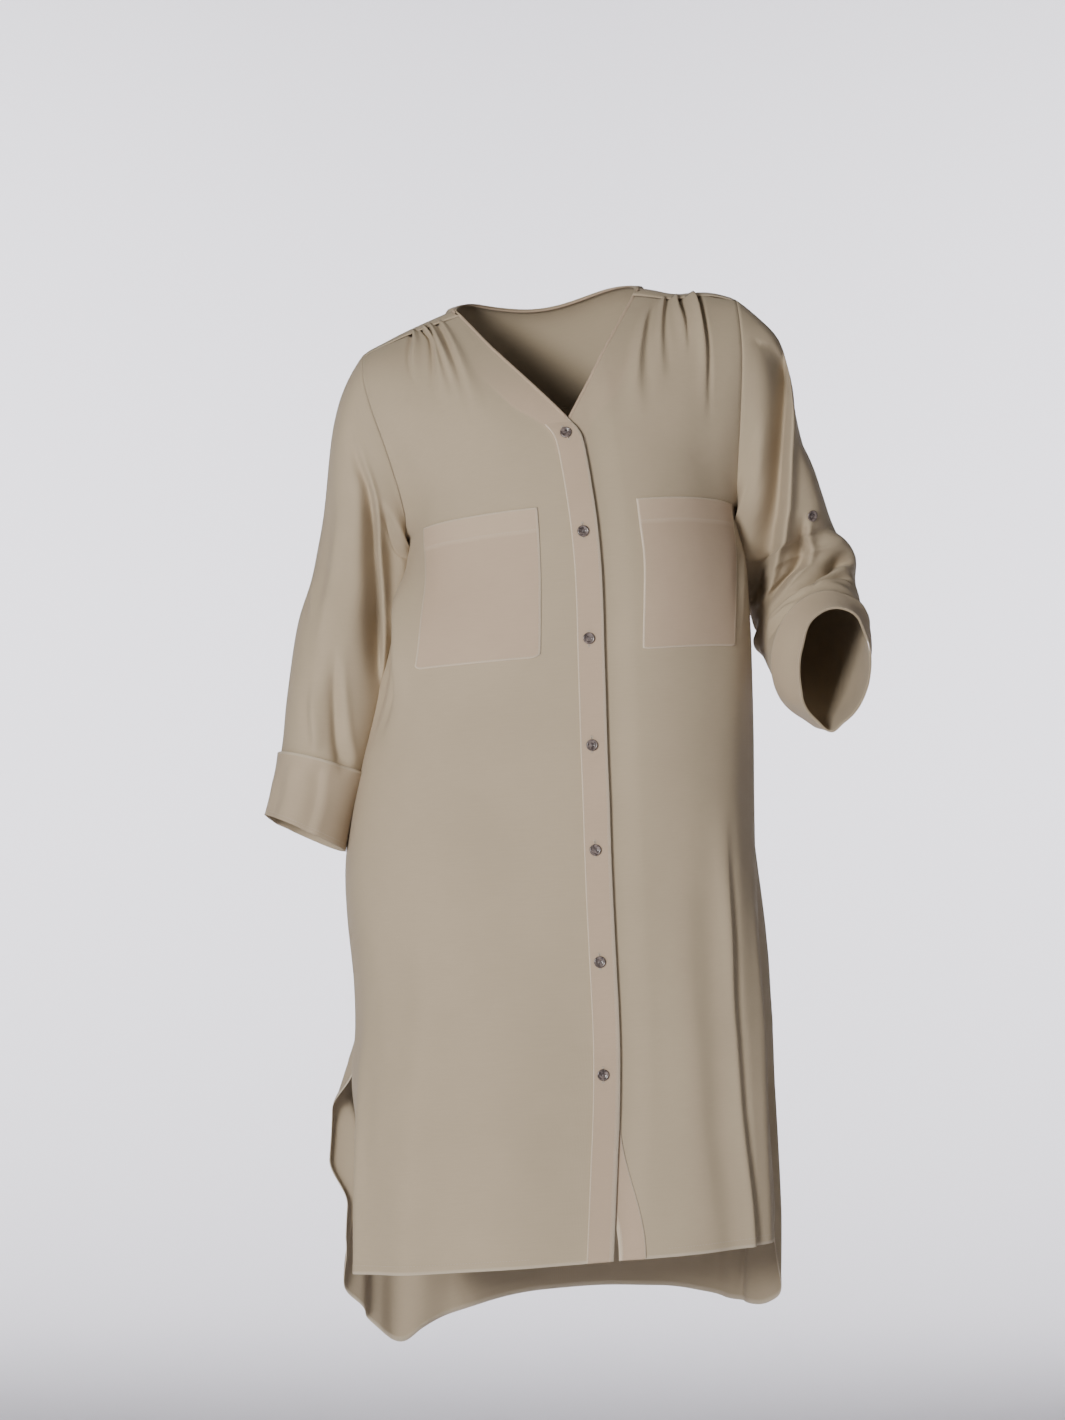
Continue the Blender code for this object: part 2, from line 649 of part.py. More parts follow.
def over_shoulder(column, share):
    low = back_surface(column.across, -1)
    low_way = (low - back_surface(column.across, -0.94)).normalized()
    length = (low - column.top).length
    return bezier(column.top, column.way * length * 0.30, low_way * length * 0.38, low, share)


def yoke_sheet():
    columns = yoke_columns()
    edges = {1: columns[0], -1: columns[-1]}
    grid = []
    for i in range(YOKE_ROWS + 1):
        share = i / YOKE_ROWS
        angle = lerp(YOKE_FRONT_ANGLE, YOKE_BACK_ANGLE, share)
        line = []
        for column in columns:
            pull = armhole(column.side, angle) - over_shoulder(edges[column.side], share)
            point = over_shoulder(column, share) + pull * smooth((column.edge - 0.2) / 0.8)
            line.append(worn(point))
        grid.append(line)
    ways = ways_of(grid, -1)
    ways[-1] = [back_seam_way(column.across) for column in columns]
    shoulder = len(front_columns(1, -1))
    for j, column in enumerate(columns):
        if j < shoulder or j >= len(columns) - shoulder:
            ways[0][j] = front_seam_way(column.side, column.edge)
    for end, inner, side in ((0, 1, 1), (-1, -2, -1)):
        draw_edge(grid, end, inner, len(grid))
        for i, way in enumerate(ways):
            angle = lerp(YOKE_FRONT_ANGLE, YOKE_BACK_ANGLE, i / YOKE_ROWS)
            way[end] = seam_way(side, angle, way[end])
    grid[0] = parted(grid[0], grid[1])
    grid[-1] = parted(grid[-1], grid[-2])
    return grid, ways


def neck_edge(fronts, yoke):
    """The binding's points and directions: a narrow strip along the neck edge of the fronts and the yoke."""
    strip = ([], [])
    shoulder = len(front_columns(1, -1)) - 1
    for grid, made in enumerate(strip):
        left, behind, right = fronts[1][grid], yoke[grid], fronts[-1][grid]
        wide = BINDING_WIDTH / (BAND_WIDTH / BAND_COLUMNS)
        for i in range(BAND_TOP_ROW, -1, -1):
            made.append([left[i][0], left[i][0].lerp(left[i][1], wide)])
        for j in range(shoulder, len(behind[0]) - shoulder):
            deep = BINDING_WIDTH / (yoke[0][1][j] - yoke[0][0][j]).length
            made.append([behind[0][j], behind[0][j].lerp(behind[1][j], deep)])
        for i in range(BAND_TOP_ROW + 1):
            made.append([right[i][0], right[i][0].lerp(right[i][1], wide)])
    return strip


def sleeve_ring(side, place, turn):
    """A point of the sleeve below the armhole: turn is from the outside of the arm towards its back."""
    rows = RIGHT_SLEEVE if side < 0 else LEFT_SLEEVE
    tip = math.radians(along(rows, place, "tip"))
    lean = math.radians(along(rows, place, "lean"))
    centre = Vector([along(rows, place, axis) for axis in "xyz"])
    across = Vector((side * math.cos(tip), 0, side * math.sin(tip)))
    deep = Vector((0, math.cos(lean), math.sin(lean)))
    angle = math.radians(turn)
    wide, thick = along(rows, place, "across"), along(rows, place, "deep")
    return centre + across * wide * math.cos(angle) + deep * thick * math.sin(angle)


def sleeve_surface(side, place, turn):
    """A point of the sleeve: place -1 to 0 is the cap from the armhole seam, and 0 to 1 the tube."""
    if place >= 0:
        return sleeve_ring(side, place, turn)
    start = worn(armhole(side, -turn))
    end = sleeve_ring(side, 0, turn)
    down = (sleeve_ring(side, 0.04, turn) - end).normalized()
    top = math.cos(math.radians(turn)) * 0.5 + 0.5
    leave = Vector((side * CAP_SPREAD[side], 0, lerp(-0.65, CAP_FALL[side], top))).normalized()
    length = (end - start).length
    return bezier(start, leave * length * CAP_PULL, -down * length * CAP_PULL, end, place + 1)


def turn_between(turn, other):
    return (turn - other + 180) % 360 - 180


def sleeve_fold_height(side, place, turn):
    height = 0.0
    for fold in FOLDS_RIGHT_SLEEVE if side < 0 else FOLDS_LEFT_SLEEVE:
        share = (place - fold.place) / (fold.place_end - fold.place)
        if not 0 < share < 1:
            continue
        off = turn_between(turn, lerp(fold.turn, fold.turn_end, share)) / fold.half_turn
        strength = smooth(share / fold.fade_in) * smooth((1 - share) / fold.fade_out)
        height += fold.height * strength * math.exp(-2 * off * off)
    for bunch in BUNCHES[side]:
        off = turn_between(turn, bunch.turn)
        reach = clamp(1 - (off / bunch.half_turn) ** 2)
        middle = bunch.place + bunch.slant * off / 90
        height += bunch.height * reach * math.exp(-2 * ((place - middle) / bunch.half_place) ** 2)
    return height


def arm_angles():
    """The angles of the armhole seam's points, the same ones for the panels and the sleeve."""
    front = [lerp(YOKE_FRONT_ANGLE, 180, share) for share in ARMHOLE_SHARES_FRONT]
    back = [lerp(YOKE_BACK_ANGLE, -180, share) for share in ARMHOLE_SHARES_BACK]
    yoke = [lerp(YOKE_BACK_ANGLE, YOKE_FRONT_ANGLE, i / YOKE_ROWS) for i in range(1, YOKE_ROWS)]
    return front + [180.0] + list(reversed(back)) + yoke


def sleeve_places(side):
    cap = [i / CAP_ROWS - 1 for i in range(CAP_ROWS)]
    tube = [CUFF_PLACE[side] * i / SLEEVE_ROWS[side] for i in range(SLEEVE_ROWS[side])]
    return cap + tube + [lerp(CUFF_PLACE[side], 1.0, i / CUFF_ROWS) for i in range(CUFF_ROWS + 1)]


def sleeve_sheet(side):
    angles = arm_angles()
    places = sleeve_places(side)
    flat = [[sleeve_surface(side, place, -angle) for angle in angles] for place in places]
    points = [
        [
            point + way * sleeve_fold_height(side, place, -angle)
            for point, way, angle in zip(level, ways, angles)
        ]
        for place, level, ways in zip(places, flat, ways_of(flat, side, closed=True))
    ]
    ways = ways_of(points, side, closed=True)
    points[0] = parted(points[0], points[1], closed=True)
    ways[0] = [seam_way(side, angle, way) for angle, way in zip(angles, ways[0])]
    return points, ways


def make_cuff(side, sheet, material):
    """The turned-up cuff: a doubled ring outside the sleeve's end, standing off a little at its top."""
    points, ways = part_of(sheet, slice(-CUFF_ROWS - 1, None), slice(None))
    outer, inner = [], []
    for i, (line, way) in enumerate(zip(points, ways)):
        stand = LAYER_GAP + CUFF_FLARE[side] * (1 - i / CUFF_ROWS) ** 2
        inner.append([point + out * stand for point, out in zip(line, way)])
        outer.append([point + out * (stand + CUFF_CLOTH) for point, out in zip(line, way)])
    make_wall("cuff_" + SIDE_NAME[side], outer, inner, material, closed=True)


def make_button(name, centre, way, material):
    """A round button with a raised rim and a sunk face, lying square to way at centre."""
    turned = way.to_track_quat("Z", "Y")
    mesh = bmesh.new()
    rings = []
    for ring in BUTTON_PROFILE:
        points = []
        for k in range(BUTTON_SIDES):
            angle = 2 * math.pi * k / BUTTON_SIDES
            spoke = Vector((math.cos(angle), math.sin(angle), 0)) * ring.radius
            points.append(mesh.verts.new(centre + turned @ (spoke + Vector((0, 0, ring.height)))))
        rings.append(points)
    for lower, upper in zip(rings, rings[1:]):
        for k in range(BUTTON_SIDES):
            m = (k + 1) % BUTTON_SIDES
            mesh.faces.new((lower[k], lower[m], upper[m], upper[k]))
    mesh.faces.new(rings[0])
    mesh.faces.new(rings[-1])
    return make_object(name, mesh, material)


def make_front_buttons(sheet, material):
    """The buttons on the middle of the right front's band, each square to the cloth there."""
    points, ways = sheet
    middle = BAND_COLUMNS // 2
    lift = LAYER_GAP + BAND_CLOTH + LAYER_GAP
    for number, level in enumerate(BUTTON_HEIGHTS, 1):
        i = next(k for k, line in enumerate(points) if line[middle].z < level)
        share = (points[i - 1][middle].z - level) / (points[i - 1][middle].z - points[i][middle].z)
        centre = points[i - 1][middle].lerp(points[i][middle], share)
        way = ways[i - 1][middle].lerp(ways[i][middle], share).normalized()
        make_button(f"button_{number}", centre + way * lift, way, material)


def make_tab_button(side, material):
    turn, place = TAB_BUTTON[side]
    centre = sleeve_surface(side, place, turn)
    around = sleeve_surface(side, place, turn + 1) - centre
    down = sleeve_surface(side, place + 0.01, turn) - centre
    way = around.cross(down).normalized() * -side
    lift = sleeve_fold_height(side, place, turn) + TAB_BUTTON_LIFT[side]
    make_button("tab_button_" + SIDE_NAME[side], centre + way * lift, way, material)


def build():
    for item in list(bpy.data.objects):
        bpy.data.objects.remove(item)
    cloth = make_material("tunic cloth", (0.44, 0.37, 0.29), 0.85)
    doubled = make_material("doubled cloth", (0.47, 0.38, 0.30), 0.85)
    shell = make_material("button shell", (0.10, 0.08, 0.08), 0.35)
    fronts = {side: front_sheet(side) for side in (-1, 1)}
    yoke = yoke_sheet()
    pocket_rows = slice(POCKET_TOP_ROW, POCKET_BOTTOM_ROW + 1)
    pocket_columns = slice(POCKET_FIRST_COLUMN, POCKET_FIRST_COLUMN + POCKET_COLUMNS + 1)
    for side, sheet in fronts.items():
        band = part_of(sheet, slice(BAND_TOP_ROW + 1, None), slice(0, BAND_COLUMNS + 1))
        pocket = part_of(sheet, pocket_rows, pocket_columns)
        layer("front_" + SIDE_NAME[side], sheet, CLOTH, cloth)
        layer("band_" + SIDE_NAME[side], band, BAND_CLOTH, doubled, LAYER_GAP)
        layer("pocket_" + SIDE_NAME[side], pocket, BAND_CLOTH, doubled, LAYER_GAP)
        sleeve = sleeve_sheet(side)
        layer("sleeve_" + SIDE_NAME[side], sleeve, CLOTH, cloth, closed=True)
        make_cuff(side, sleeve, doubled)
        make_tab_button(side, shell)
    layer("back", back_sheet(), CLOTH, cloth)
    layer("yoke", yoke, CLOTH, cloth)
    layer("neck_binding", neck_edge(fronts, yoke), BINDING_CLOTH, doubled, BINDING_GAP)
    make_front_buttons(fronts[-1], shell)


build()
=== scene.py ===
"""A long V-neck tunic in soft crepe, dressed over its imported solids: thin cloth with its folds, seams and
stitching, turned-up cuffs, patch pockets and polished buttons.

Drop is the distance below the side of the neck. X runs to the wearer's left, -Y is the front, Z is up.
Side -1 is the wearer's right, and side 1 the left. On a panel, across runs from its centre to its side.
"""

import math
from collections import namedtuple
from functools import partial

import bmesh
import bpy
import numpy as np
from mathutils import Matrix, Vector


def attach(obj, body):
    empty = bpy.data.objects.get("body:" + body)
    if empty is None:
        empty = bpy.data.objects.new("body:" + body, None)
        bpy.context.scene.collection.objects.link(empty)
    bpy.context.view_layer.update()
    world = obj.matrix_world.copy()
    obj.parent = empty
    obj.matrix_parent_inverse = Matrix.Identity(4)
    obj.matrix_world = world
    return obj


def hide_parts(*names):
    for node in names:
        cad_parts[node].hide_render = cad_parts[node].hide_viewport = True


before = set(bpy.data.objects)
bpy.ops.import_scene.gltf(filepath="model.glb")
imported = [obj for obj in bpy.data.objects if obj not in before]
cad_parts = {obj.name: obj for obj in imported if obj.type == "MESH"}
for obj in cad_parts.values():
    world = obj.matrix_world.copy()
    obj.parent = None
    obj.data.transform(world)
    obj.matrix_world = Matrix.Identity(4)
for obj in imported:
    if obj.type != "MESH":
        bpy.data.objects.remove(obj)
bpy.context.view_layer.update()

# Cloth and seams
CLOTH = 0.0007
DOUBLED = 0.0009
LAYER_GAP = 0.00025
# The outer face of a doubled piece that lies on the cloth
ON_TOP = LAYER_GAP + DOUBLED
SEAM_PUFF = 0.0004
SEAM_REACH = 0.0022
SEAM_HOLDS = 0.012
# How far the free edges below the slits swing away from the body, and how far in from an edge they do
EDGE_SWING = 0.044
FRONT_SWING = 0.020
SWING_WIDTH = 0.050
# How far the fronts' outer parts hang forward of the side seam, and the drop from which they do
FRONT_HANG = {-1: 0.0, 1: 0.018}
HANG_DROP = 0.46
# Below the slit the right front hangs a little inside the back's edge
FRONT_TUCK = {-1: 0.0210, 1: -0.0010}
HEM_DEPTH = 0.010
HEM_STEP = 0.0004
# Stitches run this far inside a hem's inner edge
STITCH_INSET = 0.0015

# Neck, shoulder and armhole
NECK_HALF_WIDTH = 0.0905
NECK_SEAM_DROP = 0.006
NECK_RIDGE_RISE = 0.022
BACK_NECK_DIP = 0.016
BACK_NECK_DEPTH = 0.070
V_DROP = 0.1245
ARMHOLE_TOP = 0.033
ARMHOLE_BOTTOM = 0.228
ARMHOLE_FRONT = 0.057
ARMHOLE_BACK = 0.060
YOKE_FRONT_ANGLE = 14.0
YOKE_BACK_ANGLE = -50.0
UNDERARM_INNER_DROP = 0.211
YOKE_BACK_DROP = 0.100

# How much of a squared quarter arc a row of a panel covers, in degrees: at its top, at the underarm and
# down the side seam
FRONT_ARC = (34.0, 80.0, 90.0)
BACK_ARC = (56.0, 80.0, 90.0)

# Hems, side slits and front overlap
SLIT_DROP = 0.745
FRONT_HEM = 0.944
FRONT_HEM_RISE = 0.052
BAND_WIDTH = 0.026
BAND_TOP_ROW = {-1: -0.422, 1: -0.346}
FACING_WIDTH = 0.028
FACING_STEP = 0.00035
PARTING = 0.031
PARTING_FROM = 0.80
LAP = 0.0034
BACK_MIDDLE = 0.012

# Lengths of a panel's rows and widths across, for its weave and its folds
ARMHOLE_LENGTH = 0.205
SEAM_LENGTH = 0.517
SLIT_LENGTH = 0.200
FRONT_WIDTH = 0.27
BACK_HALF_WIDTH = 0.29
PANEL_LENGTH = ARMHOLE_LENGTH + SEAM_LENGTH + SLIT_LENGTH
BACK_SLIT_LENGTH = SLIT_LENGTH * 1.4
BACK_LENGTH = PANEL_LENGTH * 1.2
SLEEVE_ROUND = 0.34
SLEEVE_CAP = 0.12
SLEEVE_LENGTH = 0.30

SIDE_NAME = {-1: "right", 1: "left"}

# Columns and rows of each kind of cloth
GRID = {
    "front": (132, 260),
    "back": (144, 230),
    "yoke": (150, 34),
    "sleeve": (176, 170),
    "cuff": (144, 26),
    "band": (14, 260),
    "pocket": (60, 74),
    "binding": (12, 240),
}


def table(names, *rows):
    """Rows of numbers, kept by the names of their columns."""
    return dict(zip(names.split(), np.array(rows).T))


BODY = table(
    "drop right left centre front back tilt square",
    (0.000, -0.185, 0.188, 0.000, 0.008, 0.060, 0.150, 2.0),
    (0.030, -0.182, 0.190, 0.006, 0.042, 0.076, 0.148, 2.0),
    (0.060, -0.178, 0.192, 0.012, 0.068, 0.088, 0.142, 2.0),
    (0.100, -0.168, 0.193, 0.018, 0.093, 0.100, 0.128, 2.1),
    (0.140, -0.156, 0.193, 0.023, 0.110, 0.107, 0.112, 2.2),
    (0.190, -0.142, 0.191, 0.031, 0.124, 0.111, 0.098, 2.3),
    (0.228, -0.1395, 0.1915, 0.0365, 0.129, 0.110, 0.092, 2.35),
    (0.270, -0.1415, 0.1995, 0.0405, 0.131, 0.107, 0.086, 2.4),
    (0.310, -0.152, 0.203, 0.0425, 0.131, 0.104, 0.082, 2.4),
    (0.350, -0.162, 0.205, 0.0435, 0.131, 0.102, 0.080, 2.4),
    (0.400, -0.174, 0.206, 0.0450, 0.132, 0.103, 0.080, 2.4),
    (0.450, -0.185, 0.2065, 0.0465, 0.134, 0.107, 0.080, 2.45),
    (0.500, -0.1945, 0.2065, 0.0485, 0.136, 0.112, 0.080, 2.5),
    (0.550, -0.1995, 0.2070, 0.0500, 0.139, 0.118, 0.080, 2.6),
    (0.600, -0.1970, 0.2085, 0.0520, 0.142, 0.124, 0.080, 2.7),
    (0.660, -0.1900, 0.2110, 0.0550, 0.145, 0.129, 0.080, 2.8),
    (0.710, -0.1880, 0.2140, 0.0575, 0.147, 0.132, 0.080, 2.9),
    (0.750, -0.1910, 0.2170, 0.0585, 0.148, 0.134, 0.080, 3.0),
    (0.800, -0.1955, 0.2195, 0.0580, 0.149, 0.136, 0.080, 3.1),
    (0.850, -0.1990, 0.2225, 0.0560, 0.150, 0.138, 0.080, 3.1),
    (0.900, -0.2010, 0.2250, 0.0540, 0.151, 0.140, 0.080, 3.1),
    (0.950, -0.2015, 0.2262, 0.0520, 0.152, 0.142, 0.080, 3.1),
    (1.040, -0.2015, 0.2240, 0.0510, 0.152, 0.144, 0.080, 3.1),
)
# The back hem's drop, from the right slit (-1) round to the left one (1)
BACK_HEM = table(
    "across drop",
    (-1.00, 0.925),
    (-0.92, 0.952),
    (-0.80, 0.983),
    (-0.64, 1.014),
    (-0.50, 1.040),
    (-0.42, 1.048),
    (-0.34, 1.036),
    (-0.24, 1.026),
    (0.00, 1.009),
    (0.30, 1.016),
    (0.52, 1.0275),
    (0.66, 1.030),
    (0.80, 1.028),
    (0.92, 0.995),
    (1.00, 0.925),
)
# How much higher the shoulders lie than their solids, by x
SHOULDER_RISE = table(
    "x rise",
    (-0.190, 0.0070),
    (-0.150, 0.0080),
    (-0.115, 0.0065),
    (-0.085, 0.0050),
    (-0.050, 0.0000),
    (0.050, 0.0000),
    (0.090, -0.0010),
    (0.125, 0.0005),
    (0.152, 0.0060),
    (0.170, 0.0085),
    (0.192, 0.0070),
)
# The armhole's middle and half width from front view, by drop
ARMHOLE = table(
    "drop middle half",
    (0.030, 0.004, 0.1855),
    (0.060, 0.006, 0.1865),
    (0.085, 0.010, 0.1840),
    (0.130, 0.017, 0.1755),
    (0.200, 0.025, 0.1645),
    (0.230, 0.026, 0.1655),
)
# Sleeve rings: centre, half widths across and deep, tip of the across axis and lean of the deep axis
SLEEVE = {
    -1: table(
        "place x y z across deep tip lean",
        (0.00, -0.1845, 0.010, -0.247, 0.0435, 0.064, -20.0, 0.0),
        (0.17, -0.1910, 0.009, -0.287, 0.0440, 0.063, -14.0, -2.0),
        (0.38, -0.2035, 0.004, -0.332, 0.0445, 0.061, -9.0, -4.0),
        (0.58, -0.2155, -0.004, -0.402, 0.0420, 0.058, -9.0, -6.0),
        (0.74, -0.2250, -0.010, -0.453, 0.0375, 0.055, -12.0, -8.0),
        (0.86, -0.2330, -0.014, -0.492, 0.0370, 0.054, -15.0, -11.0),
        (1.00, -0.2395, -0.020, -0.531, 0.0400, 0.055, -18.0, -14.0),
    ),
    1: table(
        "place x y z across deep tip lean",
        (0.00, 0.2390, 0.018, -0.210, 0.0425, 0.065, 28.0, 2.0),
        (0.15, 0.2455, 0.028, -0.234, 0.0445, 0.064, 26.0, 2.0),
        (0.28, 0.2485, 0.034, -0.250, 0.0480, 0.062, 24.0, -8.0),
        (0.40, 0.2550, 0.036, -0.279, 0.0525, 0.060, 22.0, -26.0),
        (0.54, 0.2620, 0.020, -0.309, 0.0530, 0.058, 18.0, -46.0),
        (0.68, 0.2675, -0.012, -0.334, 0.0500, 0.058, 13.0, -62.0),
        (0.84, 0.2720, -0.052, -0.354, 0.0455, 0.060, 8.0, -74.0),
        (1.00, 0.2800, -0.100, -0.366, 0.0370, 0.056, 5.0, -80.0),
    ),
}
CUFF_PLACE = {-1: 0.765, 1: 0.845}
CUFF_LIFT = 0.0012
CUFF_FLARE = {-1: 0.0022, 1: 0.0040}
CUFF_SLANT = {-1: (-125.0, 0.008), 1: (95.0, 0.003)}
CAP_SPREAD = {-1: 0.62, 1: 0.80}
CAP_FALL = {-1: -0.78, 1: -0.60}
UNDERARM_FALL = -0.65
CAP_PULL = 0.36
# The sleeve is fuller under the arm, where it lies against the body
UNDERARM_TURN = {-1: -168.0, 1: -166.0}
UNDERARM_WIDTH = 36.0
UNDERARM_FULL = {-1: 0.0100, 1: 0.0165}
UNDERARM_END = {-1: 1.10, 1: 0.50}

# Where the pockets' corners lie across the fronts, and down the rows
POCKET = {
    -1: {"inner": (0.172, 0.140), "outer": (0.739, 0.582)},
    1: {"inner": (0.239, 0.190), "outer": (0.840, 0.655)},
}
POCKET_ROWS = (0.0, 0.273)
POCKET_WIDTH = 0.125
POCKET_HEIGHT = 0.148
POCKET_HEM = 0.023
POCKET_ROUND = {-1: 0.022, 1: 0.010}
POCKET_CORNER = 0.06
POCKET_HEM_STEP = 0.0005

# Buttons
BUTTON_HEIGHTS = (-0.138, -0.234, -0.338, -0.440, -0.541, -0.649, -0.759)
TAB_BUTTON = {-1: (25.0, 0.20), 1: (-60.5, 0.076)}
THREAD_GAP = 0.0003

# Broad hanging folds, as shares across a panel and drops down it
BROAD = "across drop across_end drop_end half_width height fade_in fade_out"
FRONT_BROAD = {
    -1: table(
        BROAD,
        (0.93, 0.235, 0.55, 0.420, 0.110, 0.0060, 0.25, 0.5),
        (0.45, 0.560, 0.47, 1.000, 0.110, 0.0030, 0.4, 0.05),
        (0.78, 0.640, 0.74, 1.000, 0.090, 0.0050, 0.4, 0.05),
    ),
    1: table(
        BROAD,
        (0.20, 0.020, 0.28, 0.130, 0.060, 0.0026, 0.3, 0.6),
        (0.50, 0.480, 0.52, 1.000, 0.080, 0.0040, 0.4, 0.05),
        (0.80, 0.560, 0.74, 1.000, 0.090, 0.0040, 0.4, 0.05),
    ),
}
BACK_BROAD = table(
    BROAD,
    (0.84, 0.460, 0.86, 1.080, 0.130, 0.0180, 0.38, 0.02),
    (-0.98, 0.700, -1.00, 0.893, 0.160, 0.0210, 0.50, 0.25),
    (-0.80, 0.520, -0.82, 1.080, 0.120, 0.0080, 0.45, 0.02),
    (-0.42, 0.420, -0.46, 1.060, 0.110, 0.0080, 0.4, 0.02),
    (0.02, 0.300, 0.00, 1.060, 0.100, 0.0070, 0.4, 0.02),
    (0.44, 0.420, 0.46, 1.060, 0.100, 0.0075, 0.4, 0.02),
)

# Creases follow a path on the cloth. Inner and outer are the widths of the two flanks, in metres: inner is
# the one at smaller across or turn on a path that runs down. Dip is the trough beside the steeper flank, and
# spread is how much wider the crease is at its end than at its start.
Crease = namedtuple("Crease", "path height inner outer dip fade_in fade_out spread", defaults=(0.0,))
FRONT_CREASES = {
    -1: (
        Crease(
            ((0.45, 0.010), (0.47, 0.024), (0.56, 0.048), (0.60, 0.078)),
            0.0042, 0.0060, 0.0024, 0.8, 0.01, 0.75, 0.9,
        ),
        Crease(
            ((0.37, 0.010), (0.35, 0.030), (0.39, 0.050), (0.53, 0.100)),
            0.0052, 0.0070, 0.0026, 0.8, 0.01, 0.70, 0.9,
        ),
        Crease(((0.29, 0.012), (0.33, 0.041), (0.41, 0.100)), 0.0040, 0.0060, 0.0026, 0.8, 0.01, 0.75, 0.9),
        Crease(((0.19, 0.010), (0.26, 0.050), (0.38, 0.125)), 0.0034, 0.0070, 0.0032, 0.7, 0.01, 0.75, 0.9),
        Crease(
            ((0.99, 0.255), (0.74, 0.320), (0.66, 0.385), (0.73, 0.440)),
            0.0095, 0.0190, 0.0065, 0.5, 0.3, 0.45, 0.3,
        ),
        Crease(((0.97, 0.300), (0.84, 0.370), (0.86, 0.450)), -0.0050, 0.0100, 0.0100, 0.0, 0.3, 0.5, 0.6),
        Crease(((0.80, 0.760), (0.74, 0.860), (0.71, 0.950)), 0.0055, 0.0160, 0.0070, 0.5, 0.5, 0.01, 0.4),
        Crease(
            ((0.40, 0.480), (0.42, 0.640), (0.40, 0.800), (0.41, 0.950)),
            0.0026, 0.0260, 0.0190, 0.2, 0.5, 0.01,
        ),
        Crease(((0.10, 0.560), (0.13, 0.760), (0.12, 0.950)), 0.0020, 0.0190, 0.0230, 0.2, 0.5, 0.01),
    ),
    1: (
        Crease(
            ((0.37, 0.010), (0.42, 0.026), (0.50, 0.050), (0.53, 0.085)),
            0.0044, 0.0065, 0.0026, 0.8, 0.01, 0.75, 0.9,
        ),
        Crease(
            ((0.49, 0.012), (0.60, 0.036), (0.67, 0.085), (0.68, 0.150)),
            0.0055, 0.0070, 0.0028, 0.8, 0.01, 0.75, 1.2,
        ),
        Crease(((0.28, 0.012), (0.33, 0.047), (0.43, 0.115)), 0.0034, 0.0070, 0.0036, 0.6, 0.05, 0.75, 0.9),
        Crease(((0.18, 0.020), (0.24, 0.076), (0.35, 0.145)), 0.0030, 0.0070, 0.0040, 0.6, 0.2, 0.7, 0.9),
        Crease(
            ((0.56, 0.500), (0.51, 0.640), (0.48, 0.740), (0.50, 0.950)),
            0.0052, 0.0200, 0.0085, 0.3, 0.35, 0.01, 0.3,
        ),
        Crease(((0.80, 0.560), (0.74, 0.760), (0.70, 0.950)), 0.0014, 0.0090, 0.0070, 0.0, 0.4, 0.01, 0.3),
        Crease(((0.30, 0.520), (0.28, 0.740), (0.30, 0.950)), 0.0022, 0.0230, 0.0180, 0.2, 0.5, 0.01),
        Crease(((0.93, 0.250), (0.80, 0.300), (0.72, 0.360)), 0.0036, 0.0070, 0.0140, 0.4, 0.3, 0.6, 0.5),
    ),
}
BACK_CREASES = (
    Crease(((-0.86, 0.770), (-0.85, 0.860), (-0.84, 0.960)), -0.0170, 0.0280, 0.0280, 0.0, 0.35, 0.50),
    Crease(((-0.30, 0.100), (-0.27, 0.150), (-0.33, 0.235)), 0.0036, 0.0080, 0.0036, 0.6, 0.02, 0.8, 0.8),
    Crease(((0.26, 0.100), (0.30, 0.160), (0.28, 0.250)), 0.0036, 0.0036, 0.0080, 0.6, 0.02, 0.8, 0.8),
    Crease(((-0.90, 0.235), (-0.55, 0.310), (-0.36, 0.430)), 0.0048, 0.0180, 0.0090, 0.4, 0.3, 0.6),
    Crease(((-0.84, 0.290), (-0.58, 0.370), (-0.50, 0.520)), 0.0034, 0.0100, 0.0160, 0.4, 0.3, 0.6),
    Crease(((0.88, 0.240), (0.58, 0.305), (0.40, 0.400)), 0.0044, 0.0090, 0.0180, 0.4, 0.3, 0.6),
    Crease(((0.12, 0.330), (0.15, 0.470), (0.10, 0.640)), 0.0026, 0.0150, 0.0220, 0.2, 0.4, 0.5),
    Crease(((0.24, 0.560), (0.28, 0.760), (0.25, 1.060)), 0.0058, 0.0160, 0.0260, 0.3, 0.5, 0.01),
    Crease(((0.60, 0.640), (0.62, 0.820), (0.60, 1.060)), 0.0060, 0.0200, 0.0120, 0.3, 0.5, 0.01),
    Crease(((-0.22, 0.480), (-0.25, 0.700), (-0.24, 1.060)), 0.0054, 0.0250, 0.0140, 0.3, 0.5, 0.01),
    Crease(((-0.62, 0.620), (-0.60, 0.800), (-0.63, 1.060)), 0.0060, 0.0130, 0.0210, 0.3, 0.5, 0.01),
)
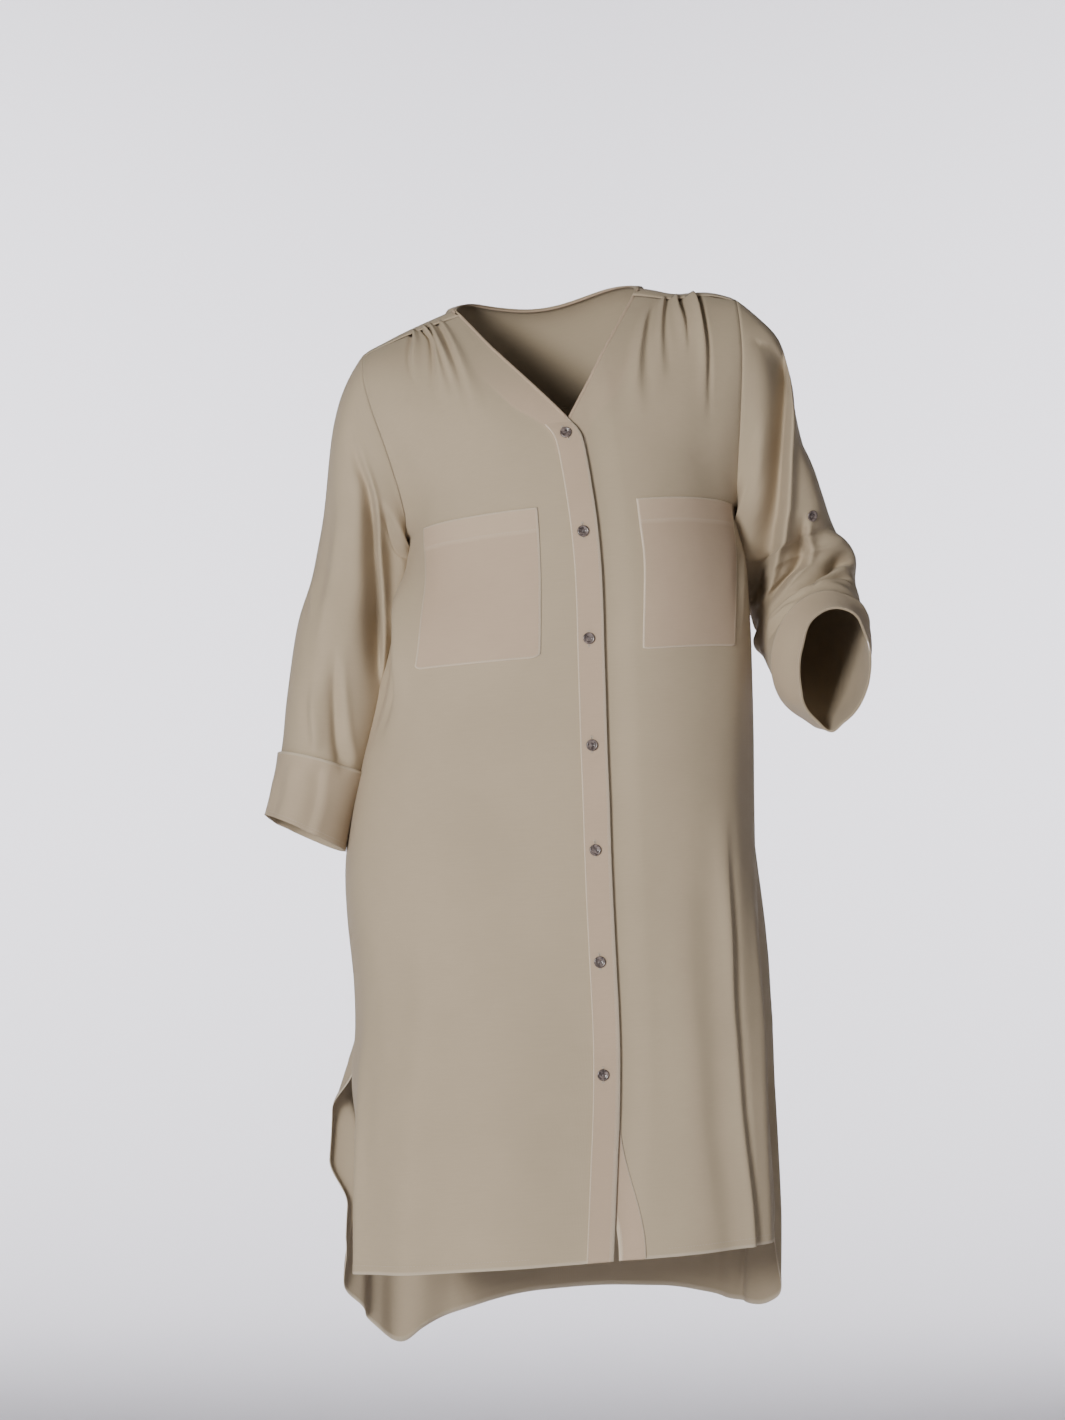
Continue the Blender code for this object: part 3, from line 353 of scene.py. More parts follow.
SLEEVE_CREASES = {
    -1: (
        Crease(((-40, -0.50), (-58, -0.10), (-66, 0.25), (-74, 0.56)), 0.0042, 0.014, 0.010, 0.3, 0.4, 0.4),
        Crease(
            ((-86, 0.42), (-102, 0.57), (-122, 0.70), (-144, 0.78)),
            -0.0080, 0.005, 0.011, 0.2, 0.4, 0.15,
        ),
        Crease(((-66, 0.50), (-76, 0.64), (-92, 0.76)), 0.0040, 0.010, 0.006, 0.3, 0.5, 0.2),
        Crease(((-14, 0.12), (-33, 0.24), (-52, 0.40)), 0.0030, 0.012, 0.005, 0.5, 0.4, 0.5),
        Crease(((-112, -0.72), (-136, -0.42), (-158, 0.00)), -0.0070, 0.008, 0.010, 0.0, 0.3, 0.4),
        Crease(((110, -0.50), (92, 0.05), (84, 0.60)), -0.0075, 0.012, 0.009, 0.0, 0.4, 0.4),
        Crease(((70, -0.30), (64, 0.20), (60, 0.62)), 0.0040, 0.009, 0.014, 0.3, 0.4, 0.4),
        Crease(((60, 0.34), (84, 0.52), (122, 0.64), (150, 0.66)), 0.0044, 0.010, 0.006, 0.4, 0.4, 0.4),
        Crease(((148, -0.40), (140, 0.10), (150, 0.50)), 0.0050, 0.010, 0.007, 0.4, 0.4, 0.4),
        Crease(((-96, 0.77), (-104, 0.88), (-98, 1.02)), -0.0024, 0.006, 0.014, 0.3, 0.2, 0.01),
        Crease(((-60, 0.77), (-64, 0.90), (-58, 1.02)), 0.0018, 0.016, 0.010, 0.3, 0.2, 0.01),
        Crease(((-20, 0.80), (-26, 0.92), (-22, 1.02)), 0.0020, 0.010, 0.012, 0.3, 0.4, 0.01),
        Crease(((40, 0.82), (46, 0.92), (40, 1.02)), 0.0020, 0.012, 0.008, 0.3, 0.4, 0.01),
    ),
    1: (
        Crease(
            ((-22, 0.44), (-42, 0.49), (-72, 0.59), (-92, 0.65), (-104, 0.70), (-124, 0.70), (-160, 0.65)),
            -0.0165, 0.011, 0.0045, 0.30, 0.12, 0.15,
        ),
        Crease(((-34, 0.60), (-60, 0.63), (-88, 0.70), (-104, 0.76)), -0.0055, 0.006, 0.003, 0.5, 0.3, 0.3),
        Crease(((-112, 0.78), (-134, 0.76), (-164, 0.70)), 0.0050, 0.006, 0.004, 0.5, 0.4, 0.3),
        Crease(((150, 0.26), (176, 0.34), (206, 0.44)), 0.0060, 0.009, 0.006, 0.5, 0.4, 0.35),
        Crease(((128, 0.48), (160, 0.56), (196, 0.60)), 0.0050, 0.009, 0.006, 0.5, 0.4, 0.35),
        Crease(((60, -0.60), (95, -0.30), (112, 0.10), (118, 0.36)), 0.0056, 0.012, 0.007, 0.4, 0.4, 0.5),
        Crease(((20, -0.20), (34, 0.10), (60, 0.34)), 0.0036, 0.010, 0.014, 0.3, 0.4, 0.5),
        Crease(((-44, -0.30), (-48, -0.04), (-54, 0.24)), 0.0030, 0.018, 0.018, 0.0, 0.4, 0.5),
        Crease(((-96, -0.84), (-104, -0.66), (-112, -0.44)), 0.0036, 0.010, 0.016, 0.2, 0.4, 0.5),
        Crease(((-50, -0.36), (-14, -0.31), (30, -0.28)), -0.0080, 0.016, 0.018, 0.0, 0.3, 0.4),
        Crease(((-50, -0.80), (-12, -0.74), (30, -0.72)), 0.0050, 0.014, 0.014, 0.0, 0.3, 0.4),
        Crease(((-60, 0.30), (-14, 0.40), (24, 0.40)), 0.0080, 0.022, 0.016, 0.0, 0.3, 0.4),
        Crease(((-34, 0.56), (-14, 0.57), (10, 0.57)), -0.0055, 0.006, 0.006, 0.0, 0.3, 0.4),
        Crease(((-60, 0.90), (-14, 0.74), (30, 0.76)), 0.0055, 0.014, 0.014, 0.0, 0.3, 0.4),
        Crease(((96, 0.80), (94, 0.90), (92, 1.02)), 0.0065, 0.011, 0.013, 0.0, 0.4, 0.01),
        Crease(((152, 0.84), (146, 0.92), (150, 1.02)), 0.0014, 0.010, 0.014, 0.3, 0.4, 0.01),
        Crease(
            ((-124, 1.02), (-160, 1.00), (-196, 1.00), (-232, 1.02)),
            -0.0050, 0.022, 0.022, 0.0, 0.3, 0.3,
        ),
        Crease(((-60, 0.84), (-52, 0.94), (-56, 1.02)), 0.0016, 0.016, 0.010, 0.3, 0.3, 0.01),
    ),
}
# The deep folds at the front of the sleeves are pressed straight back
SLEEVE_PRESSED = {
    -1: (
        Crease(
            ((-112, -0.70), (-122, -0.40), (-130, 0.00), (-138, 0.30), (-150, 0.50)),
            -0.0200, 0.020, 0.020, 0.0, 0.3, 0.3,
        ),
        Crease(
            (
                (-48, -0.78), (-76, -0.66), (-98, -0.50), (-111, 0.03),
                (-127, 0.27), (-146, 0.47), (-160, 0.56),
            ),
            -0.0175, 0.0050, 0.0105, 0.3, 0.3, 0.2,
        ),
    ),
    1: (
        Crease(
            (
                (-12, -0.74), (-24, -0.64), (-46, -0.57), (-62, -0.51), (-80, -0.38),
                (-96, -0.16), (-112, 0.06), (-128, 0.28), (-142, 0.43), (-154, 0.53),
            ),
            -0.0280, 0.022, 0.007, 0.36, 0.10, 0.12,
        ),
        Crease(
            ((-70, 0.02), (-78, 0.16), (-86, 0.34), (-98, 0.49), (-120, 0.56), (-152, 0.58)),
            -0.0170, 0.012, 0.0050, 0.25, 0.30, 0.15,
        ),
        Crease(((-30, -0.45), (-36, -0.10), (-44, 0.20)), 0.0060, 0.020, 0.020, 0.0, 0.4, 0.4),
    ),
}
# Rings of cloth bunched on the inside of the bent elbow
BUNCHES = {
    -1: {},
    1: table(
        "place half_place height turn half_turn slant",
        (0.40, 0.055, 0.0030, -80.0, 85.0, 0.050),
        (0.56, 0.055, 0.0030, -90.0, 95.0, 0.035),
        (0.71, 0.050, 0.0026, -85.0, 100.0, 0.020),
    ),
}


# Small sums on arrays


def lerp(start, end, share):
    return start + (end - start) * share


def smooth(share):
    share = np.clip(share, 0.0, 1.0)
    return share * share * (3 - 2 * share)


def bell(off, width):
    return np.exp(-((off / width) ** 2))


def points(x, y, z):
    return np.stack(np.broadcast_arrays(x, y, z), axis=-1).astype(float)


def unit(vectors):
    return vectors / np.maximum(np.linalg.norm(vectors, axis=-1, keepdims=True), 1e-12)


def along(rows, place, column):
    """A table's column at places down its first column, on a smooth curve through its rows."""
    keys, values = next(iter(rows.values())), rows[column]
    before, after = np.append(values[0], values[:-1]), np.append(values[1:], values[-1])
    key_before, key_after = np.append(keys[0], keys[:-1]), np.append(keys[1:], keys[-1])
    slopes = (after - before) / (key_after - key_before)
    i = np.clip(np.searchsorted(keys, place, side="right") - 1, 0, len(keys) - 2)
    span = keys[i + 1] - keys[i]
    t = np.clip((place - keys[i]) / span, 0, 1)
    return (
        (2 * t**3 - 3 * t**2 + 1) * values[i]
        + (t**3 - 2 * t**2 + t) * slopes[i] * span
        + (3 * t**2 - 2 * t**3) * values[i + 1]
        + (t**3 - t**2) * slopes[i + 1] * span
    )


def body(drop, column):
    return along(BODY, drop, column)


def worn(place):
    """The level garment's points, let down on the side of the lower shoulder."""
    x, y, z = place[..., 0], place[..., 1], place[..., 2]
    rise = along(SHOULDER_RISE, x, "rise") * smooth((z + 0.130) / 0.090)
    return points(x, y, z + x * body(-z, "tilt") + rise)


def facing(surface, across, row, sign, step=0.004, low=-1e9, high=1e9):
    """The direction out of a surface at each place."""
    ahead = surface(np.minimum(across + step, high), row)
    behind = surface(np.maximum(across - step, low), row)
    down = surface(across, np.minimum(row + step, ROW_END)) - surface(across, np.maximum(row - step, -1.0))
    return unit(np.cross(ahead - behind, down)) * sign


ROW_END = 2.0


# The garment's surfaces


def armhole(side, angle):
    """The armhole seam at angles from the shoulder, towards the front, in degrees."""
    turn = np.radians(angle)
    middle, half = (ARMHOLE_TOP + ARMHOLE_BOTTOM) / 2, (ARMHOLE_BOTTOM - ARMHOLE_TOP) / 2
    drop = middle - half * np.cos(turn)
    reach = np.where(np.sin(turn) > 0, ARMHOLE_FRONT, ARMHOLE_BACK)
    x = along(ARMHOLE, drop, "middle") + side * along(ARMHOLE, drop, "half")
    return points(x, -reach * np.sin(turn), -drop)


def quarter(share, arc, square):
    """How far out and how far back a row is, from 0 to 1, part of the way round a squared quarter arc."""
    power = 2 / square
    turn, most = np.radians(arc) * share, np.radians(arc)
    out = np.sin(turn) ** power / np.sin(most) ** power
    end = 1 - np.maximum(np.cos(most), 0.0) ** power
    back = (1 - np.maximum(np.cos(turn), 0.0) ** power) / end
    return out, back


def front_edge_x(side, drop):
    """The inner edge of a front: up the V, and straight down the overlap below it."""
    neck = lerp(side * NECK_HALF_WIDTH, body(V_DROP, "centre"), drop / V_DROP)
    straight = body(drop, "centre") - side * BAND_WIDTH / 2
    if side > 0:
        straight = straight + PARTING * smooth((drop - PARTING_FROM) / (FRONT_HEM - PARTING_FROM))
    blend = 0.006
    gap = (neck - straight) * side
    return straight + side * (gap + np.hypot(gap, blend)) / 2


def front_hem(across):
    corner = np.clip((across - 0.72) / 0.28, 0, 1)
    return FRONT_HEM - FRONT_HEM_RISE * (1 - np.sqrt(1 - corner * corner * 0.98))


def lower_drop(across, row, hem):
    start = lerp(UNDERARM_INNER_DROP, ARMHOLE_BOTTOM, np.abs(across) ** 3)
    return np.where(row <= 1, lerp(start, SLIT_DROP, row), lerp(SLIT_DROP, hem, row - 1))


def front_level(side, across, row):
    """Points of a front: row -1 to 0 runs down the armhole, 0 to 1 the side seam, 1 to 2 the slit."""
    share, upper = np.clip(row + 1, 0, 1), row < 0
    seam = armhole(side, lerp(YOKE_FRONT_ANGLE, 180.0, share))
    inner = lerp(NECK_SEAM_DROP, UNDERARM_INNER_DROP, share)
    drop_upper = lerp(inner, -seam[..., 2], across ** lerp(1, 3, share))
    drop = np.where(upper, drop_upper, lower_drop(across, np.maximum(row, 0), front_hem(across)))
    inner = np.where(upper, inner, drop)
    outer_x = np.where(upper, seam[..., 0], body(drop, SIDE_NAME[side]))
    outer_y = np.where(upper, seam[..., 1], 0.0)
    top, underarm, seam_arc = FRONT_ARC
    arc = np.where(upper, lerp(top, underarm, share**0.6), lerp(underarm, seam_arc, smooth(row * 4)))
    square = body(drop, "square")
    square = np.where(upper, lerp(2.0, square, share), square)
    out, back = quarter(across, arc, square)
    x = lerp(front_edge_x(side, inner), outer_x, out)
    y = lerp(-body(inner, "front"), outer_y, back)
    return points(x, y, -drop)


def back_level(across, row):
    """Points of the back: across runs from the right side (-1) to the left (1), rows as on a front."""
    side = np.where(across >= 0, 1, -1)
    share, upper, share_out = np.clip(row + 1, 0, 1), row < 0, np.abs(across)
    seam = armhole(side, lerp(YOKE_BACK_ANGLE, -180.0, share))
    inner = lerp(YOKE_BACK_DROP, UNDERARM_INNER_DROP, share)
    drop_upper = lerp(inner, -seam[..., 2], share_out ** lerp(1.6, 3, share))
    hem = along(BACK_HEM, across, "drop")
    drop = np.where(upper, drop_upper, lower_drop(across, np.maximum(row, 0), hem))
    inner = np.where(upper, inner, drop)
    edge = np.where(side < 0, body(drop, "right"), body(drop, "left"))
    outer_x = np.where(upper, seam[..., 0], edge)
    outer_y = np.where(upper, seam[..., 1], 0.0)
    top, underarm, seam_arc = BACK_ARC
    arc = np.where(upper, lerp(top, underarm, share), lerp(underarm, seam_arc, smooth(row * 4)))
    square = np.where(upper, 2.2, lerp(2.2, body(drop, "square"), smooth(row * 2)))
    out, back = quarter(share_out, arc, square)
    return points(lerp(BACK_MIDDLE, outer_x, out), lerp(body(inner, "back"), outer_y, back), -drop)


def broad_height(folds, across, drop):
    """How far a panel's broad folds move it out. They leave the side seam as it is."""
    height = np.zeros_like(drop)
    for fold in zip(*folds.values()):
        start, drop_start, end, drop_end, half, most, fade_in, fade_out = fold
        share = np.clip((drop - drop_start) / (drop_end - drop_start), 0, 1)
        strength = smooth(share / fade_in) * smooth((1 - share) / fade_out)
        height += most * strength * np.exp(-2 * ((across - lerp(start, end, share)) / half) ** 2)
    seam = smooth((1 - np.abs(across)) / 0.08)
    return height * lerp(seam, 1.0, below_slit(drop, 0.05))


def smooth_path(path, steps=7):
    """A polyline on a smooth curve through a path's places."""
    knots = np.array(path, dtype=float)
    ends = np.vstack((2 * knots[0] - knots[1], knots, 2 * knots[-1] - knots[-2]))
    line = []
    for a, b, c, d in zip(ends, ends[1:], ends[2:], ends[3:]):
        for t in np.linspace(0, 1, steps, endpoint=False):
            line.append(
                b + 0.5 * ((c - a) * t + (2 * a - 5 * b + 4 * c - d) * t**2 + (3 * b - a - 3 * c + d) * t**3)
            )
    return np.array(line + [knots[-1]])


def crease_height(creases, scale, across, down, round_it=None):
    """How far creases move the cloth out. Scale turns places on the cloth into metres."""
    height = np.zeros(np.shape(across))
    for crease in creases:
        path = smooth_path(crease.path) * scale
        place = np.stack((across * scale[0], down * scale[1]), axis=-1)
        if round_it:
            middle = path[:, 0].mean()
            place[..., 0] = (place[..., 0] - middle + round_it / 2) % round_it - round_it / 2 + middle
        reach = 3 * max(crease.inner, crease.outer) * (1 + crease.spread)
        near = np.all((place > path.min(axis=0) - reach) & (place < path.max(axis=0) + reach), axis=-1)
        if not near.any():
            continue
        spots = place[near][:, None, :]
        starts, steps = path[:-1], np.diff(path, axis=0)
        lengths = np.linalg.norm(steps, axis=1)
        t = np.clip(np.sum((spots - starts) * steps, axis=-1) / lengths**2, 0, 1)
        gaps = spots - starts - steps * t[..., None]
        distance = np.linalg.norm(gaps, axis=-1)
        nearest = np.argmin(distance, axis=1)
        rows = np.arange(len(nearest))
        step, gap = steps[nearest], gaps[rows, nearest]
        off = distance[rows, nearest] * np.sign(step[:, 1] * gap[:, 0] - step[:, 0] * gap[:, 1])
        share = (np.cumsum(lengths)[nearest] - lengths[nearest] * (1 - t[rows, nearest])) / lengths.sum()
        strength = smooth(share / crease.fade_in) * smooth((1 - share) / crease.fade_out)
        wide = 1 + crease.spread * share
        shape = bell(off, np.where(off < 0, crease.inner, crease.outer) * wide)
        steep = min(crease.inner, crease.outer) * wide
        way = -1 if crease.inner < crease.outer else 1
        shape -= crease.dip * bell(off - way * 2.0 * steep, 1.1 * steep)
        height[near] += crease.height * strength * shape
    return height


def drift(x, y, seed, strength=0.0010):
    """Slow, uneven waves of soft cloth that hangs."""
    waves = np.random.default_rng(seed)
    height = 0
    for _ in range(7):
        along_x, along_y = waves.uniform(25, 90), waves.uniform(4, 16)
        height = height + np.sin(along_x * x + along_y * y + waves.uniform(0, 6.3)) / 3
    return height * strength


def puff(distance):
    """Cloth rises a little from a seam."""
    return SEAM_PUFF * (1 - bell(distance, SEAM_REACH))


def from_seam(distance):
    """Folds die away where a seam holds the cloth."""
    return smooth(distance / SEAM_HOLDS)


def edge_share(distance):
    """From 1 at a free edge to 0 well inside it."""
    return np.clip(1 - distance / SWING_WIDTH, 0, 1) ** 1.3


def below_slit(drop, over):
    """From 0 at the top of a side slit to 1 some way below it."""
    return smooth((drop - SLIT_DROP) / over)


def hem_height(distance):
    """The turned-in hem is a little thicker than the cloth above it."""
    return HEM_STEP * (1 - smooth((distance - HEM_DEPTH + 0.001) / 0.002))


def lap_depth(side, x, drop):
    """How far the left front lies back where the right front covers it."""
    if side < 0:
        return 0.0
    off = x - (body(drop, "centre") + BAND_WIDTH / 2)
    return LAP * (1 - smooth((off - 0.006) / 0.026))


def panel_height(folds, broad, row, to_top, to_side, to_hem):
    """How far a panel's cloth moves out. Its side seam holds the folds, and its seams and hem are thicker."""
    height = folds * lerp(from_seam(to_side), 1.0, smooth((row - 1) / 0.15)) + broad
    height = height + puff(to_top) - SEAM_PUFF + np.where(row <= 1, puff(to_side), 0.0)
    return height + hem_height(np.where(row > 1, np.minimum(to_hem, to_side), to_hem))


def front_cloth(side, across, row):
    """Points of a front as it is worn, with its folds."""
    level = front_level(side, across, row)
    way = facing(lambda u, v: front_level(side, u, v), across, row, -side, low=0.0, high=1.0)
    drop = -level[..., 2]
    to_side = (1 - across) * FRONT_WIDTH
    folds = crease_height(FRONT_CREASES[side], (FRONT_WIDTH, 1.0), across, drop)
    folds = folds + drift(across * FRONT_WIDTH, drop, 3 + side) * smooth(across / 0.2)
    broad = broad_height(FRONT_BROAD[side], across, drop) - lap_depth(side, level[..., 0], drop)
    height = panel_height(folds, broad, row, (row + 1) * ARMHOLE_LENGTH, to_side, (2 - row) * SLIT_LENGTH)
    if side < 0:
        height = height + FACING_STEP * on_facing(side, across, row)
    # Below the slit the outer part tucks in sideways, and its edge swings forward
    tuck = FRONT_TUCK[side] * below_slit(drop, 0.12) * smooth((across - 0.6) / 0.4)
    swing = FRONT_SWING * below_slit(drop, 0.12) * edge_share(to_side)
    held = lerp(smooth((1 - across) / 0.2), 1.0, below_slit(drop, 0.1))
    hang = FRONT_HANG[side] * smooth((drop - HANG_DROP) / 0.2) * smooth((across - 0.45) / 0.27) * held
    return worn(level + way * height[..., None] + points(tuck, -swing - hang, 0))


def back_cloth(across, row):
    """Points of the back as it is worn, with its folds."""
    level = back_level(across, row)
    way = facing(back_level, across, row, 1, low=-1.0, high=1.0)
    drop = -level[..., 2]
    to_side = (1 - np.abs(across)) * BACK_HALF_WIDTH
    folds = crease_height(BACK_CREASES, (BACK_HALF_WIDTH, 1.0), across, drop)
    folds = folds + drift(across * BACK_HALF_WIDTH, drop, 9)
    to_top, to_hem = (row + 1) * ARMHOLE_LENGTH * 0.7, (2 - row) * BACK_SLIT_LENGTH
    height = panel_height(folds, broad_height(BACK_BROAD, across, drop), row, to_top, to_side, to_hem)
    # Below the slit the panel's edges swing out, and turn their inner face a little to the front
    swing = EDGE_SWING * below_slit(drop, 0.07) * edge_share(to_side)
    return worn(level + way * height[..., None] + points(0, swing, 0))


def bezier(start, pull_out, pull_in, end, share):
    """Points of curves that leave start along pull_out and reach end from pull_in."""
    share = np.asarray(share)[..., None]
    rest = 1 - share
    return (
        start * rest**3
        + (start + pull_out) * (3 * rest**2 * share)
        + (end + pull_in) * (3 * rest * share**2)
        + end * share**3
    )


def shoulder_way(side, across):
    """The direction in which the yoke leaves the top of a front."""
    top = front_level(side, across, np.full(np.shape(across), -1.0))
    return unit(top - front_level(side, across, np.full(np.shape(across), -0.97)))


def back_neckline(share):
    """The neck edge of the yoke, from the left front seam (0) round the back to the right one (1)."""
    turn = math.pi * share
    rise = NECK_RIDGE_RISE * np.sin(turn) ** 0.6 - BACK_NECK_DIP * np.sin(turn) ** 4
    y = lerp(-body(NECK_SEAM_DROP, "front"), BACK_NECK_DEPTH, np.sin(turn))
    return points(NECK_HALF_WIDTH * np.cos(turn), y, rise - NECK_SEAM_DROP)


SHOULDER_SHARE = 0.32
YOKE_LAP = 0.022
YOKE_LIFT = 0.0010


def over_shoulder(top, way, across, share):
    """Points of curves from the front of the yoke, over the shoulder, to the top of the back."""
    low = back_level(across, np.full(np.shape(across), -1.0))
    low_way = unit(low - back_level(across, np.full(np.shape(across), -0.94)))
    length = np.linalg.norm(low - top, axis=-1, keepdims=True)
    return bezier(top, way * length * 0.30, low_way * length * 0.38, low, share)


def yoke_level(place, share):
    """Points of the yoke: place runs from the left armhole (0) round the neck to the right one (1), and
    share from the front seam (0) to the back one (1)."""
    side = np.where(place < 0.5, 1, -1)
    inward = np.clip(np.minimum(place, 1 - place) / SHOULDER_SHARE, 0, 1)
    edge = 1 - inward
    behind = np.clip((place - SHOULDER_SHARE) / (1 - 2 * SHOULDER_SHARE), 0, 1)
    row = np.full(np.shape(place), -1.0)
    fronts = {s: front_level(s, edge, row) for s in (-1, 1)}
    ways = {s: shoulder_way(s, edge) for s in (-1, 1)}
    corners = {s: shoulder_way(s, np.zeros(1))[0] for s in (-1, 1)}
    on_left = (side > 0)[..., None]
    at_back = ((behind > 0) & (behind < 1))[..., None]
    corner = np.where((behind < 0.5)[..., None], corners[1], corners[-1])
    turned = lerp(corner, np.array((0, 1, -0.35)), (np.sin(math.pi * behind) ** 0.7)[..., None])
    top = np.where(at_back, back_neckline(np.clip(behind, 0, 1)), np.where(on_left, fronts[1], fronts[-1]))
    way = np.where(at_back, unit(turned), np.where(on_left, ways[1], ways[-1]))
    across = np.where(at_back[..., 0], lerp(0.5, -0.5, behind), side * lerp(0.5, 1.0, edge))
    angle = lerp(YOKE_FRONT_ANGLE, YOKE_BACK_ANGLE, share)
    level = over_shoulder(top, way, across, share)
    for s in (-1, 1):
        ones = np.ones(np.shape(place))
        end = over_shoulder(front_level(s, ones, row), shoulder_way(s, ones), s * ones, share)
        pull = (armhole(s, angle) - end) * smooth((edge - 0.2) / 0.8)[..., None]
        level = level + np.where((side == s)[..., None], pull, 0)
    return level


def yoke_cloth(place, share):
    """Points of the yoke as worn. Its turned edges lap a little over the panels below."""
    share = lerp(-YOKE_LAP, 1 + YOKE_LAP, share)
    level = worn(yoke_level(place, share))
    step = 0.006
    right, left = np.minimum(place + step, 1), np.maximum(place - step, 0)
    across = worn(yoke_level(right, share)) - worn(yoke_level(left, share))
    down = worn(yoke_level(place, share + step)) - worn(yoke_level(place, share - step))
    way = -unit(np.cross(across, down))
    height = drift(place * 0.5, share * 0.1, 5, 0.0004)
    to_side = np.minimum(place, 1 - place) * 0.45
    height = height * smooth(to_side / 0.01) + YOKE_LIFT * smooth(to_side / 0.012)
    return level + way * height[..., None]


def sleeve_ring(side, place, turn):
    """Points round the sleeve's tube: turn 0 is its outer side, and 90 its back, or its underside where the
    arm is bent."""
    rows = SLEEVE[side]
    tip, lean = np.radians(along(rows, place, "tip")), np.radians(along(rows, place, "lean"))
    centre = points(*(along(rows, place, axis) for axis in "xyz"))
    across = points(side * np.cos(tip), 0, side * np.sin(tip))
    deep = points(0, np.cos(lean), np.sin(lean))
    wide = along(rows, place, "across") * np.cos(np.radians(turn))
    thick = along(rows, place, "deep") * np.sin(np.radians(turn))
    return centre + across * wide[..., None] + deep * thick[..., None]


def sleeve_level(side, place, turn):
    """Points of the sleeve: place -1 to 0 is the cap from the armhole seam, and 0 to 1 the tube."""
    zero = np.zeros(np.shape(place))
    start = worn(armhole(side, -turn))
    end = sleeve_ring(side, zero, turn)
    down = unit(sleeve_ring(side, zero + 0.04, turn) - end)
    top = np.cos(np.radians(turn)) * 0.5 + 0.5
    leave = unit(points(side * CAP_SPREAD[side], 0, lerp(UNDERARM_FALL, CAP_FALL[side], top)))
    length = np.linalg.norm(end - start, axis=-1, keepdims=True) * CAP_PULL
    cap = bezier(start, leave * length, -down * length, end, np.clip(place + 1, 0, 1))
    return np.where((place >= 0)[..., None], sleeve_ring(side, np.maximum(place, 0), turn), cap)


def sleeve_down(place):
    """The distance down a sleeve in metres."""
    return np.where(place < 0, place * SLEEVE_CAP, place * SLEEVE_LENGTH)


def sleeve_hung(side, place, turn):
    """The sleeve with its end a little longer on one side, as the cuff hangs."""
    level = sleeve_level(side, place, turn)
    longest, most = CUFF_SLANT[side]
    end = np.full(np.shape(place), 1.0)
    down = unit(sleeve_ring(side, end, turn) - sleeve_ring(side, end * 0.9, turn))
    more = most * np.cos(np.radians(turn - longest)) * smooth((place - 0.66) / 0.34)
    return level + down * more[..., None]


def turned_from(turn, middle):
    """The signed angle from a middle one, within half a turn."""
    return (turn - middle + 180) % 360 - 180


def sleeve_crease_height(creases, place, turn):
    """How far creases move a sleeve's cloth. Their paths are turns round it and places down it."""
    laid = []
    for crease in creases:
        path = [(angle, float(sleeve_down(np.float64(spot)))) for angle, spot in crease.path]
        laid.append(crease._replace(path=path))
    return crease_height(laid, (SLEEVE_ROUND / 360, 1.0), turn, sleeve_down(place), SLEEVE_ROUND)


def bunch_height(side, place, turn):
    """The rings of cloth bunched inside the bent elbow."""
    height = np.zeros(np.shape(place))
    for spot, half_place, most, middle, half_turn, slant in zip(*BUNCHES[side].values()):
        off = turned_from(turn, middle)
        reach = np.clip(1 - (off / half_turn) ** 2, 0, 1)
        height = height + most * reach * np.exp(-2 * ((place - spot - slant * off / 90) / half_place) ** 2)
    return height


def sleeve_cloth(side, place, turn, lift=0.0):
    """Points of a sleeve as it is worn, with its folds, lifted off its own cloth."""
    level = sleeve_hung(side, place, turn)
    step, step_round = 0.01, 2
    around = sleeve_hung(side, place, turn + step_round) - sleeve_hung(side, place, turn - step_round)
    below, above = np.minimum(place + step, 1), np.maximum(place - step, -1)
    way = -side * unit(np.cross(around, sleeve_hung(side, below, turn) - sleeve_hung(side, above, turn)))
    under = bell(turned_from(turn, UNDERARM_TURN[side]), UNDERARM_WIDTH)
    reach = smooth((place + 1.0) / 0.30) * smooth((UNDERARM_END[side] - place) / 0.4)
    height = sleeve_crease_height(SLEEVE_CREASES[side], place, turn) + UNDERARM_FULL[side] * under * reach
    height = height + bunch_height(side, place, turn)
    height = height + drift(np.cos(np.radians(turn)) * 0.05, sleeve_down(place), 20 + side, 0.0007)
    pressed = sleeve_crease_height(SLEEVE_PRESSED[side], place, turn)
    to_seam = (place + 1) * SLEEVE_CAP
    height = height * from_seam(to_seam) + puff(to_seam)
    return level + way * (height + lift)[..., None] - points(0, pressed * from_seam(to_seam), 0)


# Making pieces


def finished(name, mesh, material, node, thickness=None):
    """A piece from its mesh. It rides on the garment, and may take the place of a solid."""
    data = bpy.data.meshes.new(name)
    mesh.to_mesh(data)
    mesh.free()
    data.materials.append(material)
    piece = bpy.data.objects.new(name, data)
    bpy.context.scene.collection.objects.link(piece)
    data.shade_smooth()
    if thickness:
        wall = piece.modifiers.new("cloth", "SOLIDIFY")
        wall.thickness = thickness
        wall.offset = -1
    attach(piece, "root")
    if node:
        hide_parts(node)
    return piece


